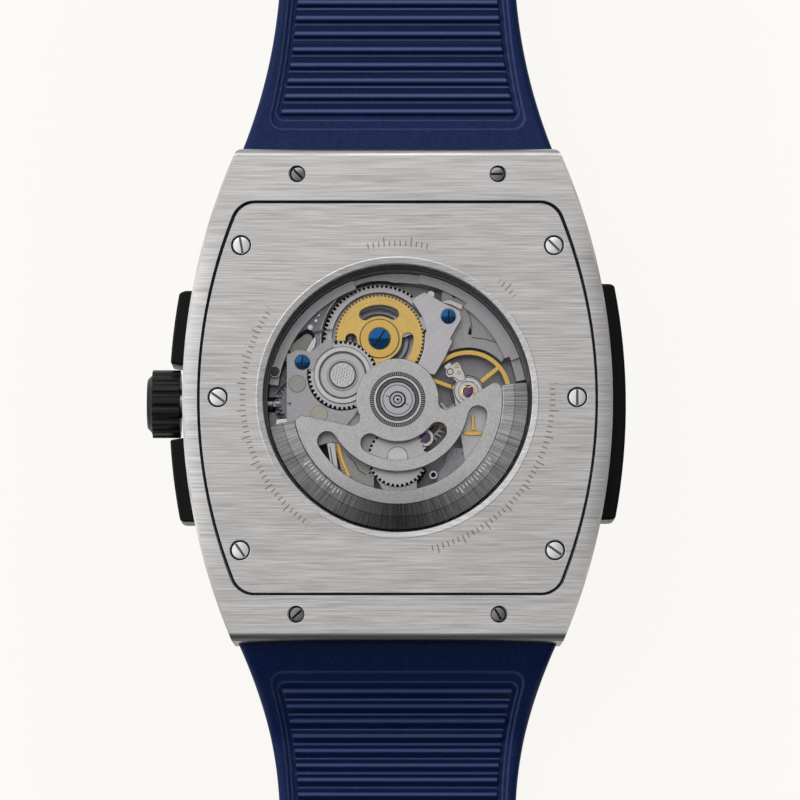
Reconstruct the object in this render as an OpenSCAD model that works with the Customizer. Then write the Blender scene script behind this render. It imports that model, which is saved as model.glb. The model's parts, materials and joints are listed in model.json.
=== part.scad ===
// Automatic wrist watch with a glass back, laid open on its front glass.
// Millimetres. The origin is the centre of the front glass, +Z points up to the case back,
// +Y points to twelve o'clock and the crown is on the -X side.

/* [Case] */
// Length of the steel case, twice from its middle to the end at twelve o'clock
case_len = 49.6; // [48:0.2:54]
// Distance by which the end at six o'clock lies nearer to the middle
six_short = 0.8; // [0:0.1:1]
// Width of the steel case at its middle
case_w = 42.4; // [42:0.2:46]
// Width of the steel case at its two ends
case_end_w = 31.8; // [31.6:0.2:34]
// Radius of the upright corners of the case
case_corner_r = 0.9; // [0.5:0.1:1.5]
// Radius of the long edges at both ends of the case
end_edge_r = 0.85; // [0.6:0.05:1.2]
// Step from the case side in to the bezel
bezel_inset = 0.7; // [0.4:0.1:1]
// Width of the bezel frame around the glass
bezel_frame_w = 5.4; // [5:0.1:6]
// Height that the glass stands proud of the bezel
glass_proud = 0.25; // [0.1:0.05:0.4]
// Thickness of the front glass
glass_t = 1.4; // [1:0.1:2]

/* [Case back] */
// Steel left beyond the back plate at both ends
end_land = 5.5; // [5:0.1:5.7]
// Steel left beside the back plate at its middle
side_land = 1.7; // [1.5:0.1:1.9]
// Steel left beside the back plate at its two ends
end_side_land = 0.4; // [0.35:0.05:0.5]
// Corner radius of the back plate
back_corner_r = 2.2; // [1.5:0.1:3]
// Thickness of the back plate
back_t = 1.45; // [1.3:0.05:1.8]
// Width of the joint around the back plate
back_joint = 0.25; // [0.15:0.05:0.4]
// Depth of the back plate below the rim of the case
back_sunk = 0.15; // [0.1:0.05:0.3]
// Clear diameter of the window in the back
window_d = 26.6; // [26.4:0.1:27.2]
// Width of the slope around the window
window_slope = 0.6; // [0.3:0.1:0.8]
// Head diameter of a back screw
back_screw_d = 1.7; // [1.5:0.1:2.2]
// Head diameter of a strap screw
strap_screw_d = 1.4; // [1.3:0.1:2]

/* [Crown and guards] */
// Diameter of the crown
crown_d = 6.8; // [6:0.1:7.2]
// Length of the crown
crown_len = 3.3; // [3:0.1:3.6]
// Number of flutes around the crown
crown_flutes = 16; // [12:1:20]
// Travel of the crown from winding to setting
crown_pull = 1.5; // [1:0.1:1.8]
// Height that the guards stand proud of the case side
guard_proud = 1.5; // [1.1:0.05:1.6]
// Length of the long guard opposite the crown
guard_len = 23.6; // [20:0.2:24.4]
// Height of the guards
guard_h = 5.4; // [4.4:0.2:6]

/* [Movement] */
// Diameter of the movement
move_d = 25.8; // [25.6:0.1:26]
// Thickness of the main plate
plate_t = 1.6; // [1.4:0.1:2]
// Thickness of the dial
dial_t = 0.4; // [0.3:0.05:0.6]
// Room between the front glass and the dial
dial_room = 2.2; // [2:0.1:2.8]
// Thickness of the train wheels
wheel_t = 0.18; // [0.12:0.02:0.22]
// Room between the balance wheel and the wall of the main plate
balance_room = 0.62; // [0.56:0.02:0.9]
// Width of the balance rim
balance_rim_w = 0.45; // [0.3:0.05:0.6]
// Teeth on the mainspring barrel
barrel_n = 76; // [70:2:80]
// Teeth on the ratchet wheel
ratchet_n = 72; // [68:2:76]
// Coils in the mainspring
mainspring_coils = 7; // [5:1:8]
// Coils in the hairspring
hairspring_coils = 6; // [4:1:8]

/* [Rotor] */
// Width by which the rotor weight reaches past the movement
rotor_over = 0.05; // [-0.2:0.05:0.1]
// Width of the rotor weight
rim_w = 2.55; // [2.4:0.05:2.7]
// Thickness of the rotor weight
rim_t = 1.1; // [0.9:0.05:1.15]
// Thickness of the rotor plate
rotor_t = 0.5; // [0.4:0.05:0.6]
// Radius of the rotor hub
rotor_hub_r = 4.1; // [3.9:0.05:4.2]
// Turn of the rotor away from straight down
rotor_turn = 9.7; // [0:0.1:30]
// Room between the rotor and the back glass
rotor_room = 0.75; // [0.5:0.05:1.2]

/* [Strap] */
// Thickness of the strap where it lies flat
strap_t = 3; // [2.6:0.1:3.2]
// Thickness of the strap where it leaves the case
strap_root_t = 4.4; // [4.2:0.1:4.6]
// Width of the strap where it leaves the case
strap_root_w = 31.6; // [30:0.1:31.7]
// Width of the strap past its shoulders
strap_w = 23.6; // [23:0.2:24.4]
// Width of the strap at the buckle and at the tip
strap_end_w = 22; // [20:0.2:23]
// Length of the half with the buckle, from the case to the buckle pin
buckle_half_len = 76; // [72:1:80]
// Length of the half with the holes, from the case to its tip
hole_half_len = 115; // [111:1:125]
// Holes for the buckle tongue
hole_count = 7; // [5:1:7]
// Distance from one hole to the next
hole_pitch = 6.5; // [6:0.1:7]
// Diameter of the holes
hole_d = 2.6; // [2.2:0.1:3]
// Clear width of the two keepers beside the strap, on each side
keeper_side_gap = 0.2; // [0.15:0.05:0.4]
// Diameter of the buckle pin
buckle_pin_d = 1.5; // [1.3:0.1:1.8]

/* [Hidden] */
$fn = 64;

// Heights, built up from the front glass to the case back
bezel_h = 2.35;
mid_z = glass_proud + bezel_h;
dial_z = glass_t + dial_room;
plate_z = dial_z + dial_t;
deck_z = plate_z + plate_t;
center_z = deck_z + 0.15;
barrel_z = deck_z + 0.5;
barrel_h = 1.6;
barrel_teeth_z = barrel_z + 0.2;
barrel_teeth_h = 0.6;
escape_z = deck_z + 1;
third_z = deck_z + 1.6;
balance_z = deck_z + 1.7;
balance_t = 0.4;
fourth_z = deck_z + 2.26;
idle_z = deck_z + 2.2;
idle_t = 0.28;
bridge_z = deck_z + 2.6;
ratchet_z = bridge_z + 0.3;
ratchet_t = 0.35;
bridge_top = bridge_z + 0.7;
auto_z = bridge_top + 0.1;
auto_t = 0.3;
shelf_top = bridge_z + 1.4;
rim_z = shelf_top + 0.15;
rotor_top = rim_z + 1.1;
rotor_z = rotor_top - rotor_t;
glass_under = rotor_top + rotor_room;
back_top = glass_under + back_t;
case_top = back_top + back_sunk;
crown_z = deck_z + 0.7;

// Clearances
fit = 0.05;
run = 0.1;
mesh_gap = 0.03;

// Movement layout, drawn at one diameter and laid out for the movement's own
layout_d = 25.8;
function laid(p) = p * move_d / layout_d;

// Places of the movement's axes, seen from the back
BARREL = laid([-1.8, 6.3]);
REVERSER = laid([-5.46, 2.575]);
THIRD = laid([-2.4, -2.9]);
ESCAPE = laid([3.05, -2.05]);
BALANCE = laid([7.03, 1.0]);
CROWN_WHEEL = laid([-9.45, 0]);
PALLET = laid([4.9, -0.7]);

// Teeth
center_pinion_n = 14;
center_n = 80;
third_pinion_n = 10;
third_n = 75;
fourth_pinion_n = 10;
fourth_n = 72;
escape_pinion_n = 8;
escape_n = 20;
reverser_pinion_n = 14;
idle_n = 34;
crown_upper_n = 33;
contrate_n = 40;
winding_n = 14;
rotor_gear_n = 36;
reverser_n = 44;
idler_n = 38;

// Pitch radii, shared out between two axes by their teeth
function span(a, b) = norm(b - a);
function share(d, n, other) = d * n / (n + other);
CENTER = [0, 0];
barrel_pr = share(span(BARREL, CENTER), barrel_n, center_pinion_n);
center_pinion_pr = share(span(BARREL, CENTER), center_pinion_n, barrel_n);
center_pr = share(span(THIRD, CENTER), center_n, third_pinion_n);
third_pinion_pr = share(span(THIRD, CENTER), third_pinion_n, center_n);
third_pr = share(span(THIRD, CENTER), third_n, fourth_pinion_n);
fourth_pinion_pr = share(span(THIRD, CENTER), fourth_pinion_n, third_n);
fourth_pr = share(span(ESCAPE, CENTER), fourth_n, escape_pinion_n);
escape_pinion_pr = share(span(ESCAPE, CENTER), escape_pinion_n, fourth_n);
ratchet_pr = share(span(BARREL, REVERSER), ratchet_n, reverser_pinion_n);
reverser_pinion_pr = share(span(BARREL, REVERSER), reverser_pinion_n, ratchet_n);
rotor_gear_pr = share(norm(REVERSER), rotor_gear_n, reverser_n);
reverser_pr = share(norm(REVERSER), reverser_n, rotor_gear_n);
idler_pr = rotor_gear_pr * idler_n / rotor_gear_n;
IDLER = [0, -rotor_gear_pr - idler_pr];
crown_upper_pr = share(span(CROWN_WHEEL, REVERSER), crown_upper_n, idle_n);
idle_pr = share(span(CROWN_WHEEL, REVERSER), idle_n, crown_upper_n);
winding_pr = 0.8;
contrate_pr = winding_pr * contrate_n / winding_n;

// Direction from one axis to another, and the turn that sets a driven wheel's
// tooth gap on the driving wheel's tooth
function toward(a, b) = atan2(b[1] - a[1], b[0] - a[0]);
function follow(a, b, na, nb, pa) = toward(a, b) + 180 + 180 / nb
    - (pa - toward(a, b)) * na / nb;
center_pinion_turn = follow(BARREL, CENTER, barrel_n, center_pinion_n, 0);
third_pinion_turn = follow(CENTER, THIRD, center_n, third_pinion_n, 0);
fourth_pinion_turn = follow(THIRD, CENTER, third_n, fourth_pinion_n, 0);
escape_pinion_turn = follow(CENTER, ESCAPE, fourth_n, escape_pinion_n, 0);
reverser_pinion_turn = follow(BARREL, REVERSER, ratchet_n, reverser_pinion_n, 0);
reverser_turn = follow(CENTER, REVERSER, rotor_gear_n, reverser_n, 0);
idler_turn = follow(CENTER, IDLER, rotor_gear_n, idler_n, 0);
idle_turn = follow(CROWN_WHEEL, REVERSER, crown_upper_n, idle_n, 0);

// Radius of the arc that joins two half widths over a half length
function side_r(half_len, half_mid, half_end) =
    (pow(half_len, 2) + pow(half_mid - half_end, 2)) / (2 * (half_mid - half_end));

// Barrel-shaped outline: arched sides, straight ends and small round corners
module tonneau(len, mid_w, end_w, corner_r) {
    hl = len / 2;
    hm = mid_w / 2;
    r = side_r(hl, hm, end_w / 2);
    cx = sqrt(pow(r - corner_r, 2) - pow(hl - corner_r, 2)) - (r - hm);
    cy = hl - corner_r;
    side = [cx + r - hm, cy] / norm([cx + r - hm, cy]);
    difference() {
        intersection() {
            translate([hm - r, 0]) circle(r);
            translate([r - hm, 0]) circle(r);
            square([mid_w + 1, len], center = true);
        }
        for (mx = [0, 1], my = [0, 1])
            mirror([mx, 0]) mirror([0, my]) difference() {
                polygon([[cx, cy], [cx, cy] + 2 * corner_r * side,
                    [cx, cy] + 3 * corner_r * [1, 1], [cx, cy + 2 * corner_r]]);
                translate([cx, cy]) circle(corner_r);
            }
    }
}

// Solid between two heights
module slab(z0, z1) translate([0, 0, z0]) linear_extrude(z1 - z0) children();

// Round solid standing at a place between two heights
module post(at, r, z0, z1) translate([at[0], at[1], z0]) cylinder(r = r, h = z1 - z0);

// The same with flat sides, for holes and arbors whose roundness is never needed
module stud(at, r, z0, z1) translate([at[0], at[1], z0]) cylinder(r = r, h = z1 - z0, $fn = 12);

// Outline of a toothed wheel with short flat-sided teeth
module teeth(n, pitch_r, turn) {
    pitch = 360 / n;
    add = 0.7 * pitch_r * 2 / n;
    root = 1.15 * pitch_r * 2 / n;
    polygon([for (i = [0:n - 1], k = [[-0.29, -root], [-0.13, add], [0.13, add], [0.29, -root]])
        let (a = turn + (i + k[0]) * pitch, r = pitch_r + k[1]) r * [cos(a), sin(a)]]);
}

// Pinion: toothed solid on its own axis
module pinion(at, n, pitch_r, turn, z0, z1)
    translate([at[0], at[1], z0]) linear_extrude(z1 - z0) teeth(n, pitch_r, turn);

// Spoked train wheel
module wheel(at, n, pitch_r, turn, z0, t, spokes, hub_r) {
    translate([at[0], at[1], z0]) linear_extrude(t) {
        difference() {
            teeth(n, pitch_r, turn);
            circle(pitch_r - 0.42, $fn = 12 * ceil(pitch_r));
        }
        for (i = [0:spokes - 1])
            rotate(i * 360 / spokes) translate([0, -0.16]) square([pitch_r - 0.3, 0.32]);
        circle(hub_r, $fn = 12);
    }
}

// Slotted screw with its head top at z = 0 and its shank below
module screw(head_r, head_t, shank_r, shank_len, slot_turn) {
    difference() {
        translate([0, 0, -head_t]) cylinder(r = head_r, h = head_t);
        rotate(slot_turn) translate([-head_r - 1, -0.13, -0.4 * head_t])
            cube([2 * head_r + 2, 0.26, head_t]);
    }
    translate([0, 0, -head_t - shank_len]) cylinder(r = shank_r, h = shank_len);
}

// Back plate, inside the steel that is left around it
back_len = case_len - 2 * end_land;
back_w = case_w - 2 * side_land;
back_end_w = case_end_w - 2 * end_side_land;

// Places of the screws
back_screw_y = back_len / 2 - 4.2;
back_side_r = side_r(back_len / 2, back_w / 2, back_end_w / 2);
back_screw_x = back_w / 2 - back_side_r + sqrt(pow(back_side_r, 2) - pow(back_screw_y, 2)) - 1.63;
side_screw_x = back_w / 2 - 1.8;
strap_screw_x = case_end_w / 2 - 5.95;
strap_screw_y = case_len / 2 - 2.6;
six_end = case_len / 2 - six_short;
bezel_screw_x = case_end_w / 2 - 3.3;
bezel_screw_y = case_len / 2 - 5.2;
bezel_side_x = case_w / 2 - 3;
back_screws = [for (s = [-1, 1])
    each [[back_screw_x * s, back_screw_y], [back_screw_x * s, -back_screw_y], [side_screw_x * s, 0]]];
strap_screws_at = [for (sx = [-1, 1], y = [strap_screw_y, six_short - strap_screw_y]) [strap_screw_x * sx, y]];
bezel_screws_at = [for (sx = [-1, 1])
    each [[bezel_screw_x * sx, bezel_screw_y], [bezel_screw_x * sx, -bezel_screw_y], [bezel_side_x * sx, 0]]];
screw_head_t = 0.55;
back_shank_r = 0.5;
back_shank_len = 3.2;
bezel_shank_len = 1.6;
gasket_r = 15.9;
gasket_w = 0.8;
cavity_r = move_d / 2 + 2.05;
glass_seat_r = window_d / 2 + 0.6;
glass_lip = 0.5;

// Sizes of the front glass and the dial, taken from the bezel
bezel_len = case_len - 2 * bezel_inset;
bezel_w = case_w - 2 * bezel_inset;
bezel_end_w = case_end_w - 2 * bezel_inset;
glass_len = bezel_len - 2 * bezel_frame_w - 2;
glass_w = bezel_w - 2 * bezel_frame_w;
glass_end_w = bezel_end_w - 2 * bezel_frame_w + 4;
gasket_t = 0.35;
dial_len = glass_len - 2.8;
dial_w = glass_w - 1;
dial_end_w = dial_w - 3.6;

// Tongues of the strap inside the case ends
tongue_w = strap_root_w - 4;
tongue_t = 3.4;
tongue_in = 4.2;
strap_axis_z = plate_z + strap_root_t / 2;

// Guards beside the case, in their own shallow seats
guard_z = crown_z - guard_h / 2;
guard_seat = 0.9;
crown_gap = 0.2;
crown_guard_top_len = 11.1;
crown_guard_low_len = 12;

// Band that follows the arched case side, from a seat depth to a proud height
module side_band(y0, y1, bevel0, bevel1) {
    r = side_r(case_len / 2, case_w / 2, case_end_w / 2);
    cx = case_w / 2 - r;
    x0 = case_w / 2 - 8;
    x1 = case_w / 2 + guard_proud;
    difference() {
        intersection() {
            translate([cx, 0]) circle(r + guard_proud);
            polygon([[x0, y0], [x1 - guard_proud, y0], [x1, y0 + bevel0],
                [x1 + 1, y0 + bevel0], [x1 + 1, y1 - bevel1], [x1, y1 - bevel1],
                [x1 - guard_proud, y1], [x0, y1]]);
        }
        translate([cx, 0]) circle(r - guard_seat);
    }
}
module side_seats() slab(guard_z, guard_z + guard_h) {
    side_band(-guard_len / 2, guard_len / 2, 0, 0);
    mirror([1, 0]) side_band(crown_d / 2 + crown_gap, crown_guard_top_len, 0, 0);
    mirror([1, 0]) side_band(-crown_guard_low_len, -crown_d / 2 - crown_gap, 0, 0);
}

// Crown, tube and stem sizes
crown_in_x = -(case_w / 2 + 0.45);
tube_r = 1.5;
tube_bore_r = 0.95;
tube_out_x = crown_in_x - 0.9;
tube_in_x = -(cavity_r + 0.4);
stem_r = 0.55;
stem_tip_x = CROWN_WHEEL[0] - contrate_pr - 1.3;
module along_x(x0, x1, r) translate([x0, 0, crown_z]) rotate([0, 90, 0]) cylinder(r = r, h = x1 - x0);

module case_middle() color([0.71, 0.71, 0.71]) difference() {
    intersection() {
        slab(mid_z, case_top) tonneau(case_len, case_w, case_end_w, case_corner_r);
        rotate([90, 0, 90]) translate([0, 0, -case_w]) linear_extrude(2 * case_w)
            difference() {
                translate([-six_end, mid_z]) square([case_len - six_short, case_top - mid_z]);
                for (y = [-six_end, case_len / 2]) difference() {
                    translate([y - end_edge_r, case_top - end_edge_r])
                        square([2 * end_edge_r, end_edge_r + 1]);
                    translate([y - sign(y) * end_edge_r, case_top - end_edge_r])
                        circle(end_edge_r);
                }
            }
    }
    slab(glass_under, case_top + 1)
        tonneau(back_len + 2 * back_joint, back_w + 2 * back_joint, back_end_w + 2 * back_joint,
            back_corner_r + back_joint);
    post([0, 0], cavity_r, plate_z, glass_under + 1);
    slab(dial_z, plate_z + 0.01) tonneau(dial_len + 0.3, dial_w + 0.3, dial_end_w + 0.3, 2);
    slab(mid_z - 1, dial_z + 0.01) tonneau(dial_len - 1, dial_w - 1, dial_end_w - 1, 2);
    translate([0, 0, glass_under - gasket_w]) difference() {
        cylinder(r = gasket_r + gasket_w / 2, h = gasket_w + 0.1);
        translate([0, 0, -1]) cylinder(r = gasket_r - gasket_w / 2, h = gasket_w + 2);
    }
    for (p = back_screws)
        post(p, back_shank_r, glass_under - back_shank_len, glass_under + 1);
    for (p = bezel_screws_at)
        post(p, back_shank_r, mid_z - 1, mid_z + bezel_shank_len);
    for (p = strap_screws_at) {
        post(p, strap_screw_d / 2 + 0.14, case_top - screw_head_t - 0.1, case_top + 1);
        post(p, back_shank_r, strap_axis_z - tongue_t / 2 - 1, case_top);
    }
    for (s = [0, 1]) mirror([0, s])
        translate([-tongue_w / 2 - fit, (s > 0 ? six_end : case_len / 2) - tongue_in - fit,
            strap_axis_z - tongue_t / 2 - fit])
            cube([tongue_w + 2 * fit, tongue_in + 2, tongue_t + 2 * fit]);
    side_seats();
    along_x(-case_w, -cavity_r + 1, tube_r);
}

module bezel() color([0.7, 0.7, 0.71]) difference() {
    slab(glass_proud, mid_z) tonneau(bezel_len, bezel_w, bezel_end_w, case_corner_r);
    translate([-case_w, -case_len - six_end + bezel_inset, -1]) cube([2 * case_w, case_len, mid_z + 2]);
    slab(glass_proud - 1, glass_t + 0.01) tonneau(glass_len + 2 * gasket_t, glass_w + 2 * gasket_t,
        glass_end_w + 2 * gasket_t, 2.4);
    slab(glass_t, mid_z + 1) tonneau(dial_len - 1, dial_w - 1, dial_end_w - 1, 2);
    for (p = bezel_screws_at) {
        post(p, 1.15, glass_proud - 1, glass_proud + 0.65);
        post(p, back_shank_r, glass_proud, mid_z + 1);
    }
}

module bezel_screws() color([0.25, 0.25, 0.26])
    for (p = bezel_screws_at) translate([p[0], p[1], glass_proud + 0.1]) mirror([0, 0, 1])
        screw(1.05, screw_head_t, back_shank_r, mid_z - glass_proud - 0.65 + bezel_shank_len, 30);

module front_crystal() color([0.85, 0.9, 0.92])
    slab(0, glass_t) tonneau(glass_len, glass_w, glass_end_w, 2.1);

module crystal_gasket() color([0.1, 0.1, 0.1]) slab(glass_proud + 0.2, glass_t) difference() {
    tonneau(glass_len + 2 * gasket_t, glass_w + 2 * gasket_t, glass_end_w + 2 * gasket_t, 2.4);
    tonneau(glass_len, glass_w, glass_end_w, 2.1);
}

module case_back() color([0.71, 0.71, 0.71]) difference() {
    slab(glass_under, back_top) tonneau(back_len, back_w, back_end_w, back_corner_r);
    post([0, 0], window_d / 2, glass_under - 1, back_top + 1);
    post([0, 0], glass_seat_r, glass_under - 1, glass_under + glass_lip);
    translate([0, 0, back_top - window_slope / 2])
        cylinder(r1 = window_d / 2, r2 = window_d / 2 + window_slope, h = window_slope / 2);
    for (p = back_screws) {
        post(p, back_screw_d / 2 + 0.14, back_top - screw_head_t, back_top + 1);
        post(p, back_shank_r + fit, glass_under - 1, back_top);
    }
}

module case_back_screws() color([0.8, 0.8, 0.8])
    for (p = back_screws) translate([p[0], p[1], back_top])
        screw(back_screw_d / 2, screw_head_t, back_shank_r, back_t - screw_head_t + back_shank_len,
            p[0] * 9 + p[1] * 14);

module back_crystal() color([0.85, 0.9, 0.92]) {
    post([0, 0], glass_seat_r - fit, glass_under + fit, glass_under + glass_lip);
    post([0, 0], window_d / 2 - fit, glass_under + glass_lip, back_top - window_slope / 2 - 0.05);
}

module back_gasket() color([0.1, 0.1, 0.1])
    translate([0, 0, glass_under - gasket_w / 2]) rotate_extrude() translate([gasket_r, 0])
        circle(gasket_w / 2);

module strap_screws() color([0.3, 0.3, 0.31])
    for (p = strap_screws_at) translate([p[0], p[1], case_top - 0.1])
        screw(strap_screw_d / 2, screw_head_t, back_shank_r,
            case_top - 0.1 - screw_head_t - strap_axis_z + tongue_t / 2 + 0.9, p[0] * 5 + p[1] * 3);

module side_guard() color([0.08, 0.08, 0.08])
    slab(guard_z, guard_z + guard_h) side_band(-guard_len / 2, guard_len / 2, 0.7, 0.7);

module crown_guards() color([0.08, 0.08, 0.08]) mirror([1, 0, 0])
    slab(guard_z, guard_z + guard_h) {
        side_band(crown_d / 2 + crown_gap, crown_guard_top_len, 0.25, 0.7);
        side_band(-crown_guard_low_len, -crown_d / 2 - crown_gap, 0.7, 0.25);
    }

module crown_tube() color([0.6, 0.6, 0.6]) difference() {
    along_x(tube_out_x, tube_in_x + 0.7, tube_r);
    along_x(tube_out_x - 1, tube_in_x + 2, tube_bore_r);
}

module crown() color([0.12, 0.12, 0.12]) difference() {
    union() {
        translate([crown_in_x - crown_len + 0.5, 0, crown_z]) rotate([0, 90, 0])
            linear_extrude(crown_len - 0.5) difference() {
                circle(crown_d / 2);
                for (i = [0:crown_flutes - 1]) rotate((i + 0.5) * 360 / crown_flutes)
                    translate([crown_d / 2 + 0.12, 0]) circle(0.42, $fn = 8);
            }
        translate([crown_in_x - crown_len, 0, crown_z]) rotate([0, 90, 0])
            cylinder(r1 = crown_d / 2 - 0.95, r2 = crown_d / 2 - 0.45, h = 0.5);
    }
    along_x(tube_out_x - 0.3, crown_in_x + 1, tube_r + run);
    along_x(tube_out_x - 0.9, crown_in_x + 1, stem_r);
}

module winding_stem() color([0.6, 0.6, 0.62]) {
    along_x(tube_out_x - 0.9, stem_tip_x + 0.6, stem_r);
    translate([stem_tip_x + 0.6, -0.3, crown_z - 0.3]) cube([CROWN_WHEEL[0] - 1 - stem_tip_x, 0.6, 0.6]);
}

module winding_pinion() color([0.6, 0.6, 0.62])
    translate([CROWN_WHEEL[0] - contrate_pr - 0.45, 0, crown_z]) rotate([0, 90, 0])
        linear_extrude(0.9) difference() {
            teeth(winding_n, winding_pr, 0);
            square(0.6 + 2 * mesh_gap, center = true);
        }

// Round arms and arches of the movement's bridges
module arch(at, r0, r1, a0, a1) translate(at) intersection() {
    difference() {
        circle(r1);
        circle(r0);
    }
    polygon([[0, 0], for (i = [0:4]) let (a = a0 + (a1 - a0) * i / 4) 2 * r1 * [cos(a), sin(a)]]);
}
module strut(a, b, w) translate(a) rotate(toward(a, b)) translate([0, -w / 2]) square([span(a, b), w]);

ring_in_r = move_d / 2 + fit;
wall_in_r = move_d / 2 - 0.9;
balance_r = wall_in_r - norm(BALANCE) - balance_room;
rotor_r = move_d / 2 + rotor_over;
rim_in_r = rotor_r - rim_w;
rotor_side_gap = 0.2;
arbor_r = 0.16;
barrel_arbor_r = 0.6;
seconds_r = 0.17;
center_bore_r = 0.24;
center_arbor_r = 0.42;
hour_bore_r = 0.5;
hour_tube_r = 0.78;

// Feet of the bridges, each with a blued screw on top where one is seen
LEFT_FOOT = laid([-9.47, 3.85]);
LOW_LEFT_FOOT = laid([-9.7, -3.6]);
LOW_FOOT = laid([0.6, -9.9]);
RIGHT_FOOT = laid([5.06, 8.48]);
TOP_FOOT = laid([3.2, 10.3]);
COCK_FOOT = laid([8.3, -6.6]);

module movement_ring() color([0.32, 0.32, 0.33]) difference() {
    post([0, 0], cavity_r - fit, plate_z, glass_under - 1.3);
    post([0, 0], ring_in_r, plate_z - 1, glass_under);
    post([0, 0], rotor_r + rotor_side_gap, rim_z - rotor_side_gap, glass_under);
    along_x(-cavity_r - 1, 0, tube_r + run);
}

module main_plate() color([0.62, 0.62, 0.64]) difference() {
    union() {
        post([0, 0], move_d / 2, plate_z, deck_z);
        slab(deck_z, bridge_z) {
            arch([0, 0], wall_in_r, move_d / 2, 10, 172);
            arch([0, 0], wall_in_r, move_d / 2, 190, 350);
        }
        slab(bridge_z, bridge_top + 0.1) {
            arch([0, 0], wall_in_r, move_d / 2, 20, 80);
            arch([0, 0], wall_in_r - 0.5, wall_in_r + 0.1, 22, 55);
            arch([0, 0], wall_in_r, move_d / 2, 110, 168);
        }
    }
    stud([0, 0], hour_tube_r + run, plate_z - 1, deck_z + 1);
    post(BARREL, barrel_pr + 0.35, deck_z, bridge_z + 0.01);
    post(CROWN_WHEEL, contrate_pr + 0.55, deck_z - 0.95, deck_z + 1);
    stud(CROWN_WHEEL, 0.3 + fit, plate_z - 1, deck_z);
    along_x(-move_d, CROWN_WHEEL[0] - contrate_pr + 0.75, 1.05);
    for (p = [BARREL, THIRD, ESCAPE, BALANCE, PALLET]) stud(p, arbor_r + fit, plate_z - 1, deck_z + 1);
    for (p = [THIRD, ESCAPE]) post(p, 0.6, deck_z - 0.4, deck_z + 1);
    for (p = [LEFT_FOOT, LOW_LEFT_FOOT, LOW_FOOT, RIGHT_FOOT, TOP_FOOT, COCK_FOOT])
        stud(p, 0.3, deck_z - 0.8, deck_z + 1);
}

// Lower slab of the bridge that holds the train and the self-winding wheels
module train_slab() {
    polygon([for (p = [[-11, 4.6], [-9.9, 5.1], [-8.7, 4.9], [-6.6, 6.2], [-4.4, 6], [-2.6, 4.2], [-1.6, 2.2],
        [2, 2.2], [2.6, 0.9], [3.7, -1.2], [3.8, -2.2], [2.9, -2.9], [1.9, -5], [1.9, -9.4], [1.5, -11],
        [-0.3, -11], [-1.8, -8.2], [-3.4, -5.6], [-6.4, -4], [-9.4, -4.8], [-10.9, -4], [-11, -2.4]]) laid(p)]);
}
module train_bridge() color([0.7, 0.7, 0.7]) difference() {
    union() {
        slab(bridge_z, bridge_top) train_slab();
        slab(bridge_top, shelf_top) difference() {
            polygon([for (p = [[-11, 4.6], [-9.9, 5.1], [-8.7, 4.9], [-6.6, 6.2], [-4.4, 6], [-5.5, 2.5],
                [-3.9, -1], [-5.2, -2.6], [-7.6, -2.9], [-9.4, -4.8], [-10.9, -4], [-11, -2.4]]) laid(p)]);
            translate(REVERSER) circle(reverser_pr + 0.25);
        }
        slab(auto_z + auto_t + 0.05, shelf_top) arch(REVERSER, 2.95, reverser_pr + 0.45, 20, 170);
        for (p = [LEFT_FOOT, LOW_LEFT_FOOT]) stud(p, 0.85, deck_z, bridge_z + 0.1);
        stud(LOW_FOOT, 0.8, deck_z, bridge_z + 0.1);
        stud(IDLER, 0.5, bridge_top, auto_z);
    }
    slab(bridge_z + 0.2, bridge_top + 0.01) {
        translate(BARREL) circle(ratchet_pr + 0.3);
        translate(REVERSER) circle(reverser_pinion_pr + 0.25);
    }
    slab(bridge_top - 0.01, shelf_top + 1) translate(BARREL) circle(ratchet_pr + 0.3);
    slab(bridge_z - 1, bridge_top + 1) {
        translate(BARREL) circle(2);
        translate(BALANCE) circle(balance_r + 0.3);
    }
    for (p = [THIRD, ESCAPE]) stud(p, arbor_r + fit, bridge_z - 1, bridge_top + 0.1);
    stud(REVERSER, arbor_r + fit, bridge_z - 1, bridge_z + 0.5);
    stud(CROWN_WHEEL, 0.3 + fit, bridge_z - 1, bridge_top);
    for (p = [LEFT_FOOT, LOW_LEFT_FOOT]) {
        post(p, 0.8, shelf_top - 0.25, shelf_top + 1);
        stud(p, 0.3, deck_z - 1, shelf_top);
    }
    stud(LOW_FOOT, 0.3, deck_z - 1, shelf_top);
    stud([0, 0], 0.3, bridge_top - 0.4, bridge_top + 1);
    stud([0, 0], seconds_r + fit, bridge_z - 1, bridge_z + 0.2);
}

module barrel_bridge() color([0.71, 0.71, 0.71]) difference() {
    union() {
        slab(bridge_z, bridge_top + 0.35) difference() {
            polygon([for (p = [[1.46, 9.99], [1.78, 10.4], [2.69, 10.9], [4.24, 10], [6.15, 9], [6.34, 8.26],
                [3.9, 3.9], [2.8, 4.3], [2.69, 5.53], [2.88, 6.99], [2.6, 8.26], [1.78, 9.54]]) laid(p)]);
            translate(BARREL) circle(ratchet_pr + 0.3);
        }
        slab(bridge_z, bridge_z + 0.2) {
            translate(BARREL) circle(1.9);
            strut(BARREL, laid([3.4, 8.2]), 1.3);
        }
        stud(RIGHT_FOOT, 0.95, deck_z, bridge_z + 0.1);
        stud(TOP_FOOT, 0.55, deck_z, bridge_z + 0.1);
    }
    stud(BARREL, barrel_arbor_r + fit, bridge_z - 1, bridge_top);
    post(RIGHT_FOOT, 0.8, bridge_top + 0.1, bridge_top + 1);
    stud(RIGHT_FOOT, 0.3, deck_z - 1, bridge_top + 1);
}

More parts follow.
